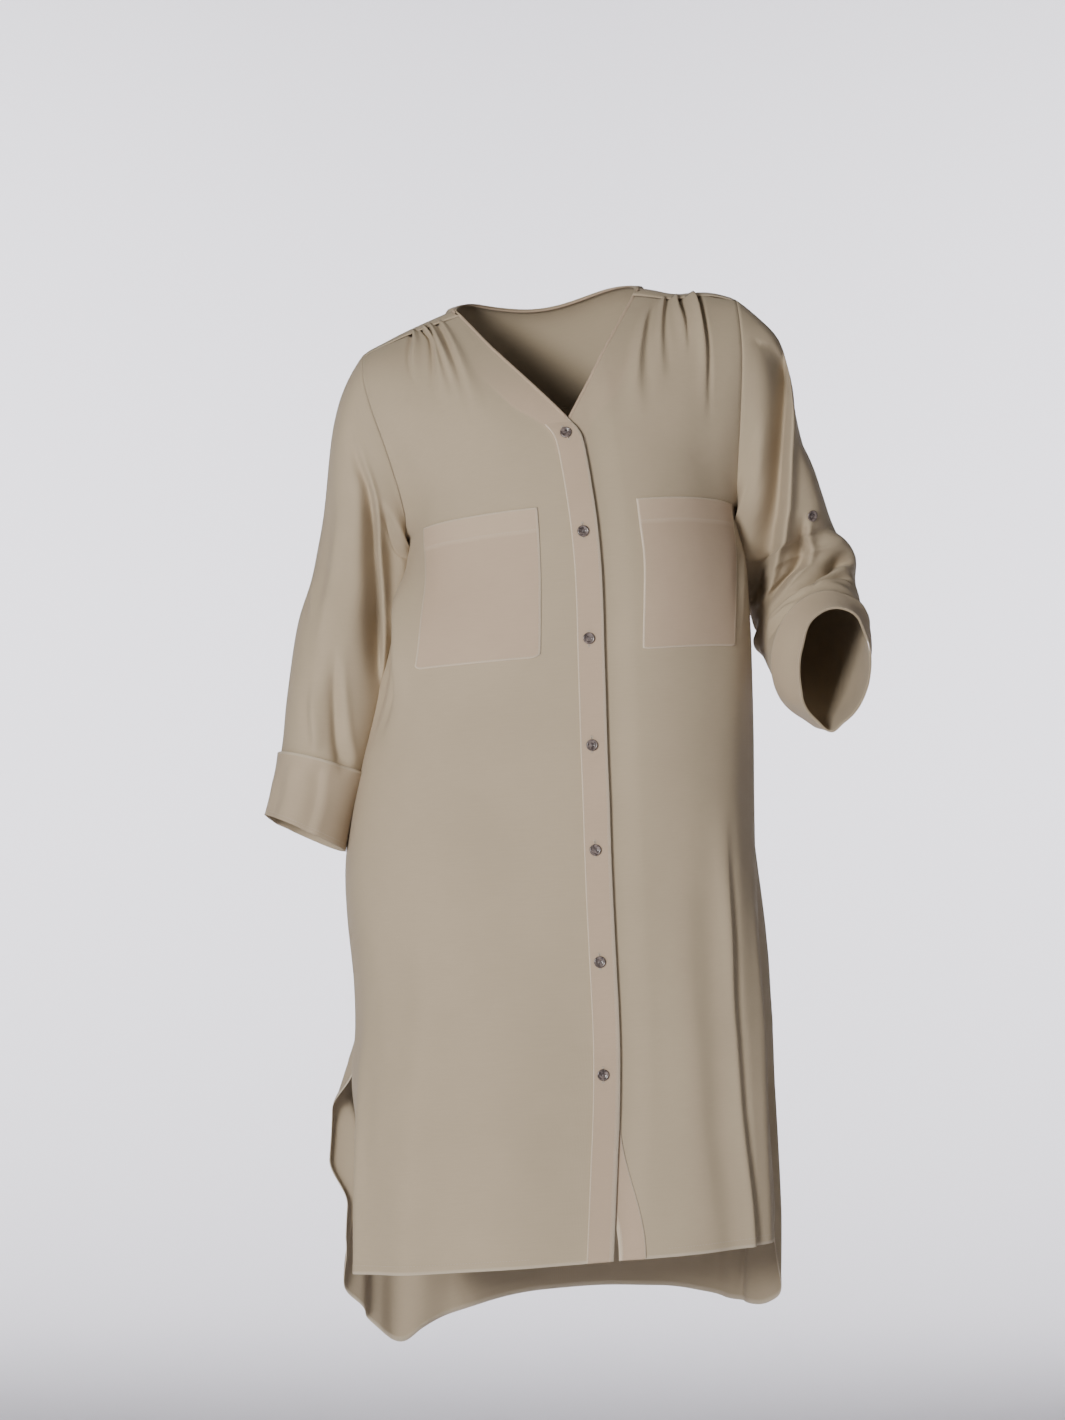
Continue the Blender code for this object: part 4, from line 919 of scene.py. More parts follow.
def cloth_mesh(kind, surface, flat, outward=1, tube=False, edge=None, backed=None):
    """A grid of cloth laid on a surface, with its weave map in metres. Edge gives each place's nearness to
    an edge, where a painted highlight lightens the cloth, and backed where a second layer shows through."""
    mesh = bmesh.new()
    weave = mesh.loops.layers.uv.new("weave")
    # The edge layer masks a painted highlight along the cloth's edges
    edge_highlight = mesh.verts.layers.float.new("edge")
    second_layer = mesh.verts.layers.float.new("backed")
    columns, rows = GRID[kind]
    bmesh.ops.create_grid(mesh, x_segments=columns, y_segments=rows, size=0.5, calc_uvs=True)
    places = np.array([vert.co[:2] for vert in mesh.verts]) + 0.5
    places = np.round(places, 6)
    spots = surface(places[:, 0], places[:, 1])
    edges = edge(places[:, 0], places[:, 1]) if edge else np.zeros(len(places))
    layers = backed(places[:, 0], places[:, 1]) if backed else np.zeros(len(places))
    for vert, spot, near, double in zip(mesh.verts, spots.tolist(), edges.tolist(), layers.tolist()):
        vert.co = spot
        vert[edge_highlight] = near
        vert[second_layer] = double
    for face in mesh.faces:
        for loop in face.loops:
            u, v = loop[weave].uv
            loop[weave].uv = (u * flat[0], v * flat[1])
    if outward < 0:
        bmesh.ops.reverse_faces(mesh, faces=mesh.faces)
    if tube:
        bmesh.ops.remove_doubles(mesh, verts=mesh.verts, dist=1e-6)
    return mesh


def rows_down(share):
    """The row at a share of the whole length of a panel."""
    down = share * PANEL_LENGTH
    return np.where(
        down < ARMHOLE_LENGTH,
        down / ARMHOLE_LENGTH - 1,
        np.where(
            down < ARMHOLE_LENGTH + SEAM_LENGTH,
            (down - ARMHOLE_LENGTH) / SEAM_LENGTH,
            1 + (down - ARMHOLE_LENGTH - SEAM_LENGTH) / SLIT_LENGTH,
        ),
    )


# The mask of the painted highlight along an edge: 1 at the edge, 0 some 1.6 mm in
def near_edge(distance):
    return 1 - smooth(distance / 0.0016)


def on_facing(side, across, row):
    """Where the facing lies behind the V edge of a front, from 0 to 1. It shows less further up."""
    level = front_level(side, across, row)
    drop = -level[..., 2]
    off = (level[..., 0] - front_edge_x(side, drop)) * side
    wide = lerp(FACING_WIDTH / 0.76, BAND_WIDTH, smooth((drop - V_DROP + 0.020) / 0.030))
    inside = 1 - smooth((off - wide) / 0.0025)
    shown = smooth((drop - 0.055) / 0.055) * (1 - smooth((drop - V_DROP - 0.030) / 0.010))
    return inside * shown


def front_across_at(side, row, x):
    """The place across a front at which rows reach x."""
    low, high = np.zeros(np.shape(row)), np.ones(np.shape(row))
    for _ in range(22):
        middle = (low + high) / 2
        short = (front_level(side, middle, row)[..., 0] - x) * side < 0
        low, high = np.where(short, middle, low), np.where(short, high, middle)
    return (low + high) / 2


def band_edge(side, row):
    """The place across a front at which rows leave the button band."""
    edge = front_level(side, np.zeros(np.shape(row)), row)[..., 0]
    return front_across_at(side, row, edge + side * BAND_WIDTH)


def front_place(side, u, v):
    return front_cloth(side, u, rows_down(v))


def back_place(u, v):
    return back_cloth(u * 2 - 1, rows_down(v))


def band_place(side, u, v):
    """Points of the front's cloth under the button band."""
    row = lerp(BAND_TOP_ROW[side], 2.0, v)
    return front_cloth(side, u * band_edge(side, row), row)


def pocket_place(side, u, v):
    """Points of the front's cloth under the pocket."""
    share = smooth(v)
    inner = lerp(*POCKET[side]["inner"], share)
    outer = lerp(*POCKET[side]["outer"], share)
    return front_cloth(side, lerp(inner, outer, u), lerp(*POCKET_ROWS, v))


def lifted(surface, u, v, lift, sign, step=0.002):
    """Points of a surface moved out along its own direction, and that direction."""
    across = surface(u + step, v) - surface(np.maximum(u - step, 0), v)
    down = surface(u, np.minimum(v + step, 1)) - surface(u, np.maximum(v - step, 0))
    way = unit(np.cross(across, down)) * sign
    return surface(u, v) + way * np.asarray(lift)[..., None], way


def make_front(side, material):
    # Painted highlight along the hem, the slit and the inner edge
    def edge(u, v):
        row = rows_down(v)
        to_hem = (2 - row) * SLIT_LENGTH
        to_side = np.where(row > 1, (1 - u) * FRONT_WIDTH, 1.0)
        return near_edge(np.minimum(np.minimum(to_hem, to_side), u * FRONT_WIDTH))

    def backed(u, v):
        return on_facing(side, u, rows_down(v)) * (1.0 if side < 0 else 0.35)

    flat = (FRONT_WIDTH, PANEL_LENGTH)
    mesh = cloth_mesh("front", partial(front_place, side), flat, -side, edge=edge, backed=backed)
    name = "front_" + SIDE_NAME[side]
    piece = finished(name + "_cloth", mesh, material, name, CLOTH)


def make_back(material):
    # Painted highlight along the slit edges and the hem
    def edge(u, v):
        row = rows_down(v)
        to_side = np.where(row > 1, np.minimum(u, 1 - u) * 2 * BACK_HALF_WIDTH, 1.0)
        return near_edge(np.minimum((2 - row) * BACK_SLIT_LENGTH, to_side))

    mesh = cloth_mesh("back", back_place, (2 * BACK_HALF_WIDTH, 1.0), 1, edge=edge)
    piece = finished("back_cloth", mesh, material, "back", CLOTH)


def make_yoke(material):
    mesh = cloth_mesh("yoke", yoke_cloth, (0.50, 0.10), -1)
    piece = finished("yoke_cloth", mesh, material, "yoke", CLOTH)


def make_sleeve(side, material):
    cap = 0.3

    def surface(u, v):
        place = np.where(v < cap, v / cap - 1, (v - cap) / (1 - cap))
        return sleeve_cloth(side, place, 180 - 360 * u)

    mesh = cloth_mesh("sleeve", surface, (SLEEVE_ROUND, 0.42), side, tube=True)
    name = "sleeve_" + SIDE_NAME[side]
    piece = finished(name + "_cloth", mesh, material, name, CLOTH)


def cuff_place(side, turn, v, lift):
    """Points of a cuff, which flares a little towards its upper edge."""
    return sleeve_cloth(side, lerp(CUFF_PLACE[side], 1.0, v), turn, lift + CUFF_FLARE[side] * (1 - v) ** 2)


def make_cuff(side, material):
    def surface(u, v):
        return cuff_place(side, 180 - 360 * u, v, CUFF_LIFT)

    # Painted highlight along the cuff's upper edge
    def edge(u, v):
        return near_edge(v * 0.06)

    mesh = cloth_mesh("cuff", surface, (SLEEVE_ROUND, 0.07), side, tube=True, edge=edge)
    name = "cuff_" + SIDE_NAME[side]
    piece = finished(name + "_cloth", mesh, material, name, DOUBLED)


def make_band(side, material):
    def surface(u, v):
        # The top of the band runs out into the facing of the neck
        lift = lerp(-0.0006, ON_TOP, smooth((v - 0.002) / 0.022))
        return lifted(partial(band_place, side), u, v, lift, -side)[0]

    # Painted highlight along both edges of the band
    def edge(u, v):
        return near_edge(np.minimum(u, 1 - u) * BAND_WIDTH)

    mesh = cloth_mesh("band", surface, (BAND_WIDTH, 0.83), -side, edge=edge)
    name = "band_" + SIDE_NAME[side]
    piece = finished(name + "_cloth", mesh, material, name, DOUBLED)


def pocket_low(side, u):
    """How far down its height the pocket reaches. Its lower corners are a little rounded."""
    return 1 - POCKET_ROUND[side] * np.clip(1 - np.minimum(u, 1 - u) / POCKET_CORNER, 0, 1) ** 2


def make_pocket(side, material):
    def surface(u, v):
        v = v * pocket_low(side, u)
        top_hem = POCKET_HEM_STEP * (1 - smooth((v * POCKET_HEIGHT - POCKET_HEM + 0.001) / 0.002))
        return lifted(partial(pocket_place, side), u, v, ON_TOP + top_hem, -side)[0]

    def edge(u, v):
        # Painted highlight along the pocket's edges and, fainter, along the fold of its top hem
        near = np.minimum(np.minimum(u, 1 - u) * POCKET_WIDTH, np.minimum(v, 1 - v) * POCKET_HEIGHT)
        return np.maximum(near_edge(near), 0.35 * near_edge(np.abs(v * POCKET_HEIGHT - POCKET_HEM)))

    def backed(u, v):
        return 0.8 * (1 - smooth((v * POCKET_HEIGHT - POCKET_HEM + 0.0005) / 0.001))

    mesh = cloth_mesh("pocket", surface, (POCKET_WIDTH, POCKET_HEIGHT), -side, edge=edge, backed=backed)
    name, under = "pocket_" + SIDE_NAME[side], "front_" + SIDE_NAME[side] + "_cloth"
    piece = finished(name + "_cloth", mesh, material, name, DOUBLED)


# The neck edge's shares at which its left front ends and its right front starts
NECK_LEFT = 0.3
NECK_RIGHT = 0.7


def by_neck_part(share, left, behind, right):
    """Of three sets of points, the ones of the part of the neck edge that each share is on."""
    on_left, on_right = (share < NECK_LEFT)[..., None], (share > NECK_RIGHT)[..., None]
    return np.where(on_left, left, np.where(on_right, right, behind))


def neck_fronts(share, across):
    """Points of both fronts beside the V, some way in from it."""
    across = np.full(np.shape(share), across)
    down = 1 - np.clip(share / NECK_LEFT, 0, 1)
    up = np.clip((share - NECK_RIGHT) / (1 - NECK_RIGHT), 0, 1)
    left = front_cloth(1, across, -1 + down * (BAND_TOP_ROW[1] + 1))
    return left, front_cloth(-1, across, -1 + up * (BAND_TOP_ROW[-1] + 1))


def neck_line(share):
    """The neck edge's points: up the left front (0), round the back, and down the right front (1)."""
    left, right = neck_fronts(share, 0.0)
    behind = worn(back_neckline(np.clip((share - NECK_LEFT) / (NECK_RIGHT - NECK_LEFT), 0, 1)))
    return by_neck_part(share, left, behind, right)


def neck_inward(share):
    """The direction from the neck edge into the cloth, and the direction out of the cloth."""
    inside = 0.02
    left, right = (near - edge for near, edge in zip(neck_fronts(share, inside), neck_fronts(share, 0.0)))
    behind_share = np.clip((share - NECK_LEFT) / (NECK_RIGHT - NECK_LEFT), 0.001, 0.999)
    place = SHOULDER_SHARE + behind_share * (1 - 2 * SHOULDER_SHARE)
    zero = np.zeros(np.shape(share))
    into = by_neck_part(share, left, yoke_cloth(place, zero + inside) - yoke_cloth(place, zero), right)
    ahead = neck_line(np.minimum(share + 0.003, 1)) - neck_line(np.maximum(share - 0.003, 0))
    into = unit(into - unit(ahead) * np.sum(into * unit(ahead), axis=-1, keepdims=True))
    return into, unit(np.cross(into, unit(ahead)))


def make_binding(material):
    """A narrow roll, oval in section, round the neck's edge."""
    def surface(u, v):
        into, out = neck_inward(v)
        angle = 2 * math.pi * u
        deep = 0.0013 - 0.0017 * np.cos(angle)
        lift = -0.0004 + 0.0010 * np.sin(angle)
        return neck_line(v) + into * deep[..., None] + out * lift[..., None]

    mesh = cloth_mesh("binding", surface, (0.008, 0.60), 1, tube=True)
    bmesh.ops.holes_fill(mesh, edges=[edge for edge in mesh.edges if edge.is_boundary], sides=0)
    bmesh.ops.recalc_face_normals(mesh, faces=mesh.faces)
    piece = finished("neck_binding_roll", mesh, material, "neck_binding")


# Buttons


# Radii and heights of a button's half section: base, rolled rim and sunk face
BUTTON_SECTION = (
    (0.0, 0.0), (0.0048, 0.0), (0.0056, 0.0006), (0.0057, 0.0013), (0.0052, 0.0020), (0.0045, 0.0021),
    (0.0038, 0.0016), (0.0034, 0.0013), (0.0026, 0.0012), (0.0017, 0.0012), (0.0009, 0.0012), (0.0, 0.0012),
)
BUTTON_FACE = 0.0036
HOLE_OFF_CENTRE = 0.0013
HOLE_SIZE = 0.0007


def make_button(name, centre, way, down, material, thread, node):
    """A round button with a rolled rim and a sunk face, two holes, and the thread that holds it."""
    mesh = bmesh.new()
    verts = [mesh.verts.new((radius, 0, height)) for radius, height in BUTTON_SECTION]
    edges = [mesh.edges.new(pair) for pair in zip(verts, verts[1:])]
    bmesh.ops.spin(
        mesh, geom=verts + edges, cent=(0, 0, 0), axis=(0, 0, 1), angle=2 * math.pi, steps=40, use_merge=True
    )
    bmesh.ops.remove_doubles(mesh, verts=mesh.verts, dist=1e-6)
    for vert in mesh.verts:
        if vert.co.z > 0.001 and vert.co.xy.length < BUTTON_FACE:
            for hole in (-HOLE_OFF_CENTRE, HOLE_OFF_CENTRE):
                off = math.hypot(vert.co.x - hole, vert.co.y)
                vert.co.z -= HOLE_SIZE * math.exp(-((off / HOLE_SIZE) ** 2))
    bmesh.ops.recalc_face_normals(mesh, faces=mesh.faces)
    turned = button_turn(way, down)
    bmesh.ops.transform(mesh, verts=mesh.verts, matrix=Matrix.Translation(centre) @ turned.to_4x4())
    finished(name, mesh, material, node)
    bar = bmesh.new()
    for offset in (-0.00025, 0.00025):
        matrix = Matrix.Translation(centre) @ turned.to_4x4() @ Matrix.Translation((0, offset, 0.0013))
        grain(bar, matrix, (0.0017, 0.00028, 0.00030), 2)
    finished(name + "_thread", bar, thread, None)


def button_turn(way, down):
    """The turn of something that lies on the cloth, with its own Y up the garment."""
    z = Vector(way).normalized()
    y = (-Vector(down)).normalized()
    y = (y - z * y.dot(z)).normalized()
    x = y.cross(z)
    return Matrix((x, y, z)).transposed()


def button_seats(steps, lift):
    """The buttons' places down the middle of the upper band, with the directions out of it and down it."""
    v = np.linspace(0, 1, steps)
    spots, ways = lifted(partial(band_place, -1), np.full(steps, 0.5), v, np.full(steps, lift), 1)
    for height in BUTTON_HEIGHTS:
        i = int(np.argmax(spots[:, 2] < height))
        yield Vector(spots[i]), ways[i], spots[i + 1] - spots[i - 1]


def make_buttons(shell, thread):
    for number, (spot, way, down) in enumerate(button_seats(600, ON_TOP + THREAD_GAP), 1):
        name = f"button_{number}"
        make_button(name + "_shell", spot, way, down, shell, thread, name)


def make_tab_button(side, shell, thread):
    turn, place = (np.array([value]) for value in TAB_BUTTON[side])
    spot = sleeve_cloth(side, place, turn, THREAD_GAP)[0]
    around = (sleeve_cloth(side, place, turn + 2) - sleeve_cloth(side, place, turn - 2))[0]
    down = (sleeve_cloth(side, place + 0.02, turn) - sleeve_cloth(side, place - 0.02, turn))[0]
    way = -side * unit(np.cross(around, down))
    name = "tab_button_" + SIDE_NAME[side]
    make_button(name + "_shell", Vector(spot), way, down, shell, thread, name)


# Stitching

STITCH_PITCH = 0.0030
STITCH_SHAPE = (0.00115, 0.00020, 0.00016)
STITCH_LIFT = 0.0001
TAB_SQUARE = 0.014
BUTTONHOLE = 0.0145


def grain(mesh, matrix, shape, subdivisions=1):
    """A small egg of thread, drawn out to half lengths along its own axes."""
    matrix = matrix @ Matrix.Diagonal((*shape, 1))
    bmesh.ops.create_icosphere(mesh, subdivisions=subdivisions, radius=1.0, matrix=matrix)


def make_stitches(name, lines, material):
    """Short raised stitches along lines. A line is its points, and the directions out of the cloth."""
    mesh = bmesh.new()
    for spots, ways in lines:
        steps = np.linalg.norm(np.diff(spots, axis=0), axis=1)
        run = np.append(0, np.cumsum(steps))
        count = max(int(run[-1] / STITCH_PITCH), 1)
        for middle in (np.arange(count) + 0.5) * run[-1] / count:
            centre = np.array([np.interp(middle, run, spots[:, k]) for k in range(3)])
            ahead = np.array([np.interp(middle + 0.001, run, spots[:, k]) for k in range(3)]) - centre
            way = np.array([np.interp(middle, run, ways[:, k]) for k in range(3)])
            x, z = Vector(unit(ahead)), Vector(unit(way))
            y = z.cross(x).normalized()
            turned = Matrix((x, y, x.cross(y))).transposed().to_4x4()
            grain(mesh, Matrix.Translation(centre) @ turned, STITCH_SHAPE)
    return finished(name, mesh, material, None)


def sewn(surface, us, vs, sign, lift=STITCH_LIFT):
    """A line of stitches over a surface, through places on it."""
    us, vs = np.broadcast_arrays(np.asarray(us, dtype=float), np.asarray(vs, dtype=float))
    return lifted(surface, us, vs, np.full(us.shape, lift), sign)


HEM_LINE = HEM_DEPTH - STITCH_INSET
SLIT_TOP = 1 - SLIT_LENGTH / PANEL_LENGTH


def sew_front(side, thread):
    """A line along the hem, and one up the slit."""
    surface = partial(front_place, side)
    low, side_in = 1 - HEM_LINE / PANEL_LENGTH, 1 - HEM_LINE / FRONT_WIDTH
    hem = sewn(surface, np.linspace(0.10, side_in, 60), low, -side)
    slit = sewn(surface, side_in, np.linspace(SLIT_TOP, low, 40), -side)
    make_stitches("stitching_front_" + SIDE_NAME[side], [hem, slit], thread)


def sew_back(thread):
    low, side_in = 1 - HEM_LINE / BACK_LENGTH, HEM_LINE / (2 * BACK_HALF_WIDTH)
    lines = [sewn(back_place, np.linspace(side_in, 1 - side_in, 120), low, 1)]
    lines += [sewn(back_place, place, np.linspace(SLIT_TOP, low, 50), 1) for place in (side_in, 1 - side_in)]
    make_stitches("stitching_back", lines, thread)


def sew_yoke(thread):
    left, right = np.linspace(0.01, SHOULDER_SHARE, 40), np.linspace(1 - SHOULDER_SHARE, 0.99, 40)
    lines = [sewn(yoke_cloth, places, 0.012, -1) for places in (left, right)]
    lines.append(sewn(yoke_cloth, np.linspace(0.01, 0.99, 120), 0.985, -1))
    make_stitches("stitching_yoke", lines, thread)


def sew_band(side, thread):
    """A line beside each edge of the band."""
    surface, down, lift = partial(band_place, side), np.linspace(0.03, 0.995, 200), ON_TOP + STITCH_LIFT
    lines = [sewn(surface, place, down, -side, lift) for place in (0.06, 0.94)]
    make_stitches("stitching_band_" + SIDE_NAME[side], lines, thread)


def sew_pocket(side, thread):
    """Lines down both sides and across the bottom, and one that holds the top hem."""
    surface, lift, side_in = partial(pocket_place, side), ON_TOP + STITCH_LIFT, 0.014
    down, over = np.linspace(0.01, 0.975, 40), np.linspace(side_in, 1 - side_in, 40)
    lines = [sewn(surface, place, down, -side, lift) for place in (side_in, 1 - side_in)]
    lines.append(sewn(surface, over, pocket_low(side, over) - 0.011, -side, lift))
    hem = (POCKET_HEM - STITCH_INSET) / POCKET_HEIGHT
    lines.append(sewn(surface, over, hem, -side, lift + POCKET_HEM_STEP))
    make_stitches("stitching_pocket_" + SIDE_NAME[side], lines, thread)


def sew_sleeve(side, thread):
    """A line round the top of the cuff, and the square that holds the tab inside the sleeve."""
    def tube(u, v):
        return sleeve_cloth(side, v, 360 * u)

    def cuff(u, v):
        return cuff_place(side, 360 * u, v, CUFF_LIFT + STITCH_LIFT)

    turn, place = TAB_BUTTON[side]
    wide, tall = TAB_SQUARE / SLEEVE_ROUND, TAB_SQUARE / SLEEVE_LENGTH
    middle = (turn % 360) / 360
    over, down = np.linspace(-0.5, 0.5, 9) * wide, np.linspace(-0.5, 0.5, 9) * tall
    lines = [sewn(tube, middle + over, place + end * tall, -side) for end in (-0.5, 0.5)]
    lines += [sewn(tube, middle + end * wide, place + down, -side) for end in (-0.5, 0.5)]
    lines.append(sewn(cuff, np.linspace(0, 1, 90), 0.93, -side))
    make_stitches("stitching_sleeve_" + SIDE_NAME[side], lines, thread)


def sew_buttonholes(thread):
    """A long, narrow ring of close stitches under each front button, cut open down its middle, where a thin
    dark strip is painted shade.
    """
    mesh, slits, half = bmesh.new(), bmesh.new(), BUTTONHOLE / 2
    for spot, way, down in button_seats(900, ON_TOP):
        base = Matrix.Translation(spot) @ button_turn(way, down).to_4x4()
        for end in (-1, 1):
            for step in np.linspace(-half, half, 30):
                place = Matrix.Translation((end * 0.00075, step, 0.00005))
                grain(mesh, base @ place, (0.00065, 0.00028, 0.00022))
            for step in np.linspace(-0.0010, 0.0010, 5):
                place = Matrix.Translation((step, end * (half + 0.0004), 0.00005))
                grain(mesh, base @ place, (0.00028, 0.00075, 0.00024))
        # A thin dark strip along each cut: painted shade in the closed slit
        grain(slits, base @ Matrix.Translation((0, 0, 0.00006)), (0.00024, half, 0.00008), 2)
    finished("buttonhole_stitching", mesh, thread, None)
    # Painted shade for the slits
    slit_shade = sewing_thread("buttonhole slit shade", (0.10, 0.07, 0.05))
    finished("buttonhole_slit_shade", slits, slit_shade, None)


# Materials


DOUBLED_COLOUR = (0.485, 0.368, 0.266)
TWICE_DOUBLED_COLOUR = (0.53, 0.405, 0.295)
# Painted highlight colours for the cloth's edges, where they catch the light
BROWN_HIGHLIGHT = (0.66, 0.57, 0.44)
PALE_HIGHLIGHT = (0.69, 0.59, 0.46)


def new_material(name, **finish):
    """A material, its nodes and its shader, with the finish's inputs by their names."""
    material = bpy.data.materials.new(name)
    material.use_nodes = True
    shader = material.node_tree.nodes["Principled BSDF"]
    for key, value in finish.items():
        shader.inputs[key.replace("_", " ")].default_value = value
    return material, material.node_tree, shader


def node(tree, kind, inputs, **settings):
    """A node with its settings. An input takes a value, or the socket that feeds it."""
    made = tree.nodes.new(kind)
    for key, value in settings.items():
        setattr(made, key, value)
    for key, value in inputs.items():
        if isinstance(value, bpy.types.NodeSocket):
            tree.links.new(value, made.inputs[key])
        else:
            made.inputs[key].default_value = value
    return made


def noise(tree, place, scale, detail):
    inputs = {"Vector": place, "Scale": scale, "Detail": detail}
    return node(tree, "ShaderNodeTexNoise", inputs).outputs["Fac"]


def between(tree, value, low, high):
    """The middle of a noise's range, spread out between two values."""
    inputs = {"Value": value, "From Min": 0.3, "From Max": 0.7, "To Min": low, "To Max": high}
    return node(tree, "ShaderNodeMapRange", inputs).outputs["Result"]


def joined(tree, operation, first, second):
    return node(tree, "ShaderNodeMath", {0: first, 1: second}, operation=operation).outputs[0]


def mixed(tree, first, second, attribute):
    """The first colour, and the second one as far as an attribute of the piece says."""
    share = node(tree, "ShaderNodeAttribute", {}, attribute_name=attribute).outputs["Fac"]
    inputs = {"A": first, "B": (*second, 1), "Factor": share}
    return node(tree, "ShaderNodeMix", inputs, data_type="RGBA").outputs["Result"]


def crepe(name, colour, highlight_colour, layered_colour=DOUBLED_COLOUR):
    """Fine crepe: a plain weave of tightly twisted threads with a pebbled face, on the weave map."""
    material, tree, shader = new_material(
        name, Roughness=0.82, Sheen_Weight=0.14, Sheen_Roughness=0.45, Sheen_Tint=(1.0, 0.95, 0.88, 1),
        Specular_IOR_Level=0.28,
    )
    weave = node(tree, "ShaderNodeUVMap", {}, uv_map="weave").outputs["UV"]
    place = node(tree, "ShaderNodeTexCoord", {}).outputs["Object"]
    # Threads both ways, about 0.5 mm apart
    thread = {"Vector": weave, "Scale": 640.0, "Distortion": 1.6, "Detail": 2.0, "Detail Scale": 1.4}
    warp, weft = (
        node(tree, "ShaderNodeTexWave", thread, wave_type="BANDS", bands_direction=direction).outputs["Fac"]
        for direction in ("X", "Y")
    )
    face = joined(tree, "ADD", joined(tree, "ADD", warp, weft), noise(tree, weave, 900.0, 3.0))
    bump = node(tree, "ShaderNodeBump", {"Strength": 0.35, "Distance": 0.0002, "Height": face})
    tree.links.new(bump.outputs["Normal"], shader.inputs["Normal"])
    # Slow changes of tone over the cloth, and slubs along the weft
    tone = between(tree, noise(tree, place, 9.0, 4.0), 0.96, 1.035)
    drawn_out = node(tree, "ShaderNodeMapping", {"Vector": weave, "Scale": (60.0, 900.0, 1.0)})
    slub = between(tree, noise(tree, drawn_out.outputs["Vector"], 1.0, 2.0), 0.985, 1.015)
    # A second layer shows through, and the edges are lightened by a painted highlight
    layered = mixed(tree, (*colour, 1), layered_colour, "backed")
    highlighted = mixed(tree, layered, highlight_colour, "edge")
    toned = {0: highlighted, "Scale": joined(tree, "MULTIPLY", tone, slub)}
    toned = node(tree, "ShaderNodeVectorMath", toned, operation="SCALE").outputs["Vector"]
    tree.links.new(toned, shader.inputs["Base Color"])
    return material


def coloured_by(tree, shader, pattern, *stops):
    """Colours the shader by a pattern, from one stop's place and colour to the next one's."""
    ramp = node(tree, "ShaderNodeValToRGB", {"Fac": pattern})
    for element, (place, colour) in zip(ramp.color_ramp.elements, stops):
        element.position = place
        element.color = (*colour, 1)
    tree.links.new(ramp.outputs["Color"], shader.inputs["Base Color"])


def polished_shell(name):
    """Dark grey-brown polished resin with a pearly, cloudy middle."""
    material, tree, shader = new_material(name, Roughness=0.28, Coat_Weight=0.4, Coat_Roughness=0.12)
    place = node(tree, "ShaderNodeTexCoord", {}).outputs["Object"]
    cloud = noise(tree, place, 420.0, 5.0)
    coloured_by(tree, shader, cloud, (0.38, (0.041, 0.028, 0.026)), (0.68, (0.24, 0.19, 0.175)))
    return material


def sewing_thread(name, colour):
    """Twisted thread."""
    material, tree, shader = new_material(name, Roughness=0.6, Sheen_Weight=0.2)
    place = node(tree, "ShaderNodeTexCoord", {}).outputs["Object"]
    settings = {"wave_type": "BANDS", "bands_direction": "DIAGONAL"}
    twist = node(tree, "ShaderNodeTexWave", {"Scale": 900.0, "Vector": place}, **settings).outputs["Fac"]
    coloured_by(tree, shader, twist, (0.0, [part * 0.75 for part in colour]), (1.0, colour))
    return material


# Camera, light and floor


FLOOR_LEVEL = -1.50
FLOOR_REACH = 7.0
FLOOR_CURVE = 2.0
WALL_BACK = 5.2
WALL_TOP = 5.0
CAMERA_AWAY = 4.0
SHOWN_HEIGHT = 1.42
SENSOR = 36.0


def make_camera():
    """A level camera in front. At the garment it shows 1.42 m from top to bottom."""
    data = bpy.data.cameras.new("camera")
    camera = bpy.data.objects.new("camera", data)
    bpy.context.scene.collection.objects.link(camera)
    data.sensor_fit = "VERTICAL"
    data.sensor_width = data.sensor_height = SENSOR
    data.lens = SENSOR * CAMERA_AWAY / SHOWN_HEIGHT
    camera.location = (-0.013, -CAMERA_AWAY, -0.408)
    camera.rotation_euler = (math.radians(90), 0, 0)
    bpy.context.scene.camera = camera


def make_light(name, place, target, power, size, colour=(1, 1, 1), spread=180):
    data = bpy.data.lights.new(name, "AREA")
    data.energy, data.size, data.color, data.spread = power, size, colour, math.radians(spread)
    lamp = bpy.data.objects.new(name, data)
    bpy.context.scene.collection.objects.link(lamp)
    lamp.location = place
    lamp.rotation_euler = (Vector(target) - Vector(place)).to_track_quat("-Z", "Y").to_euler()


def make_studio():
    world = bpy.data.worlds.new("studio")
    bpy.context.scene.world = world
    world.use_nodes = True
    sky = world.node_tree.nodes["Background"]
    sky.inputs["Color"].default_value = (1.0, 0.97, 0.94, 1)
    sky.inputs["Strength"].default_value = 0.15
    make_light("key", (-1.8, -3.7, 0.1), (0, 0, -0.6), 174, 1.0, (1.0, 0.985, 0.96))
    make_light("fill", (2.6, -2.8, 0.5), (0, 0, -0.5), 9, 2.0, (1.0, 0.98, 0.95))
    for name, way in (("backdrop left", -1), ("backdrop right", 1)):
        place, target = (way * 2.3, 2.6, 1.3), (way * 0.9, WALL_BACK, -0.5)
        make_light(name, place, target, 105, 1.8, (0.985, 0.975, 1.0), 120)


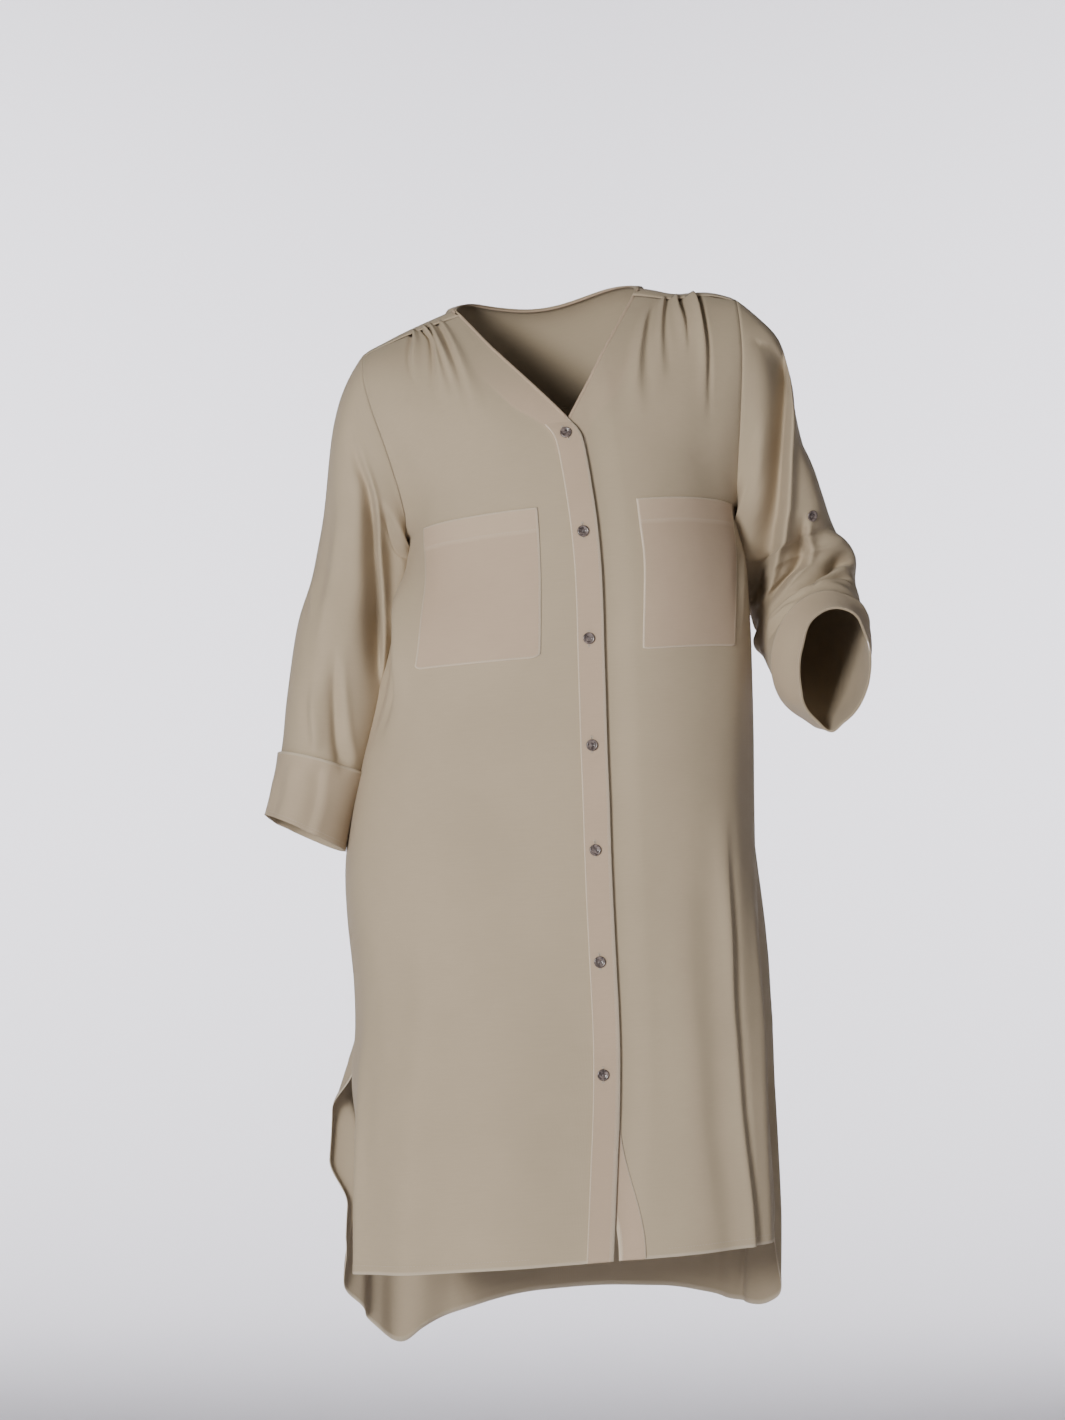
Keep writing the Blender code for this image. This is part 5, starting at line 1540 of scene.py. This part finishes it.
def make_floor():
    """A pale floor that curves up behind."""
    mesh = bmesh.new()
    start, middle = WALL_BACK - FLOOR_CURVE, FLOOR_LEVEL + FLOOR_CURVE
    turns = np.linspace(0, math.pi / 2, 14)
    profile = [(-FLOOR_REACH, FLOOR_LEVEL)]
    profile += [(start + FLOOR_CURVE * math.sin(t), middle - FLOOR_CURVE * math.cos(t)) for t in turns]
    profile += [(WALL_BACK, WALL_TOP)]
    verts = [mesh.verts.new((-FLOOR_REACH, y, z)) for y, z in profile]
    edges = [mesh.edges.new(pair) for pair in zip(verts, verts[1:])]
    made = bmesh.ops.extrude_edge_only(mesh, edges=edges)
    for item in made["geom"]:
        if isinstance(item, bmesh.types.BMVert):
            item.co.x = FLOOR_REACH
    bmesh.ops.recalc_face_normals(mesh, faces=mesh.faces)
    data = bpy.data.meshes.new("floor")
    mesh.to_mesh(data)
    mesh.free()
    data.shade_smooth()
    paint = new_material("pale floor", Base_Color=(0.77, 0.76, 0.81, 1), Roughness=0.9)[0]
    data.materials.append(paint)
    floor = bpy.data.objects.new("floor", data)
    bpy.context.scene.collection.objects.link(floor)


def build():
    """The studio and every piece of the garment."""
    make_camera()
    make_studio()
    make_floor()
    cloth = crepe("tunic crepe", (0.432, 0.350, 0.246), BROWN_HIGHLIGHT)
    doubled = crepe("doubled crepe", DOUBLED_COLOUR, PALE_HIGHLIGHT, TWICE_DOUBLED_COLOUR)
    turned_up = crepe("turned-up crepe", (0.446, 0.356, 0.252), BROWN_HIGHLIGHT)
    shell = polished_shell("polished button shell")
    thread = sewing_thread("button thread", (0.16, 0.13, 0.13))
    sewing = sewing_thread("sewing thread", (0.56, 0.48, 0.385))
    for side in (-1, 1):
        make_front(side, cloth)
        make_sleeve(side, cloth)
        make_cuff(side, turned_up)
        make_band(side, doubled)
        make_pocket(side, doubled)
        make_tab_button(side, shell, thread)
        sew_front(side, sewing)
        sew_band(side, sewing)
        sew_pocket(side, sewing)
        sew_sleeve(side, sewing)
    make_back(cloth)
    make_yoke(cloth)
    make_binding(doubled)
    make_buttons(shell, thread)
    sew_back(sewing)
    sew_yoke(sewing)
    sew_buttonholes(sewing)


build()
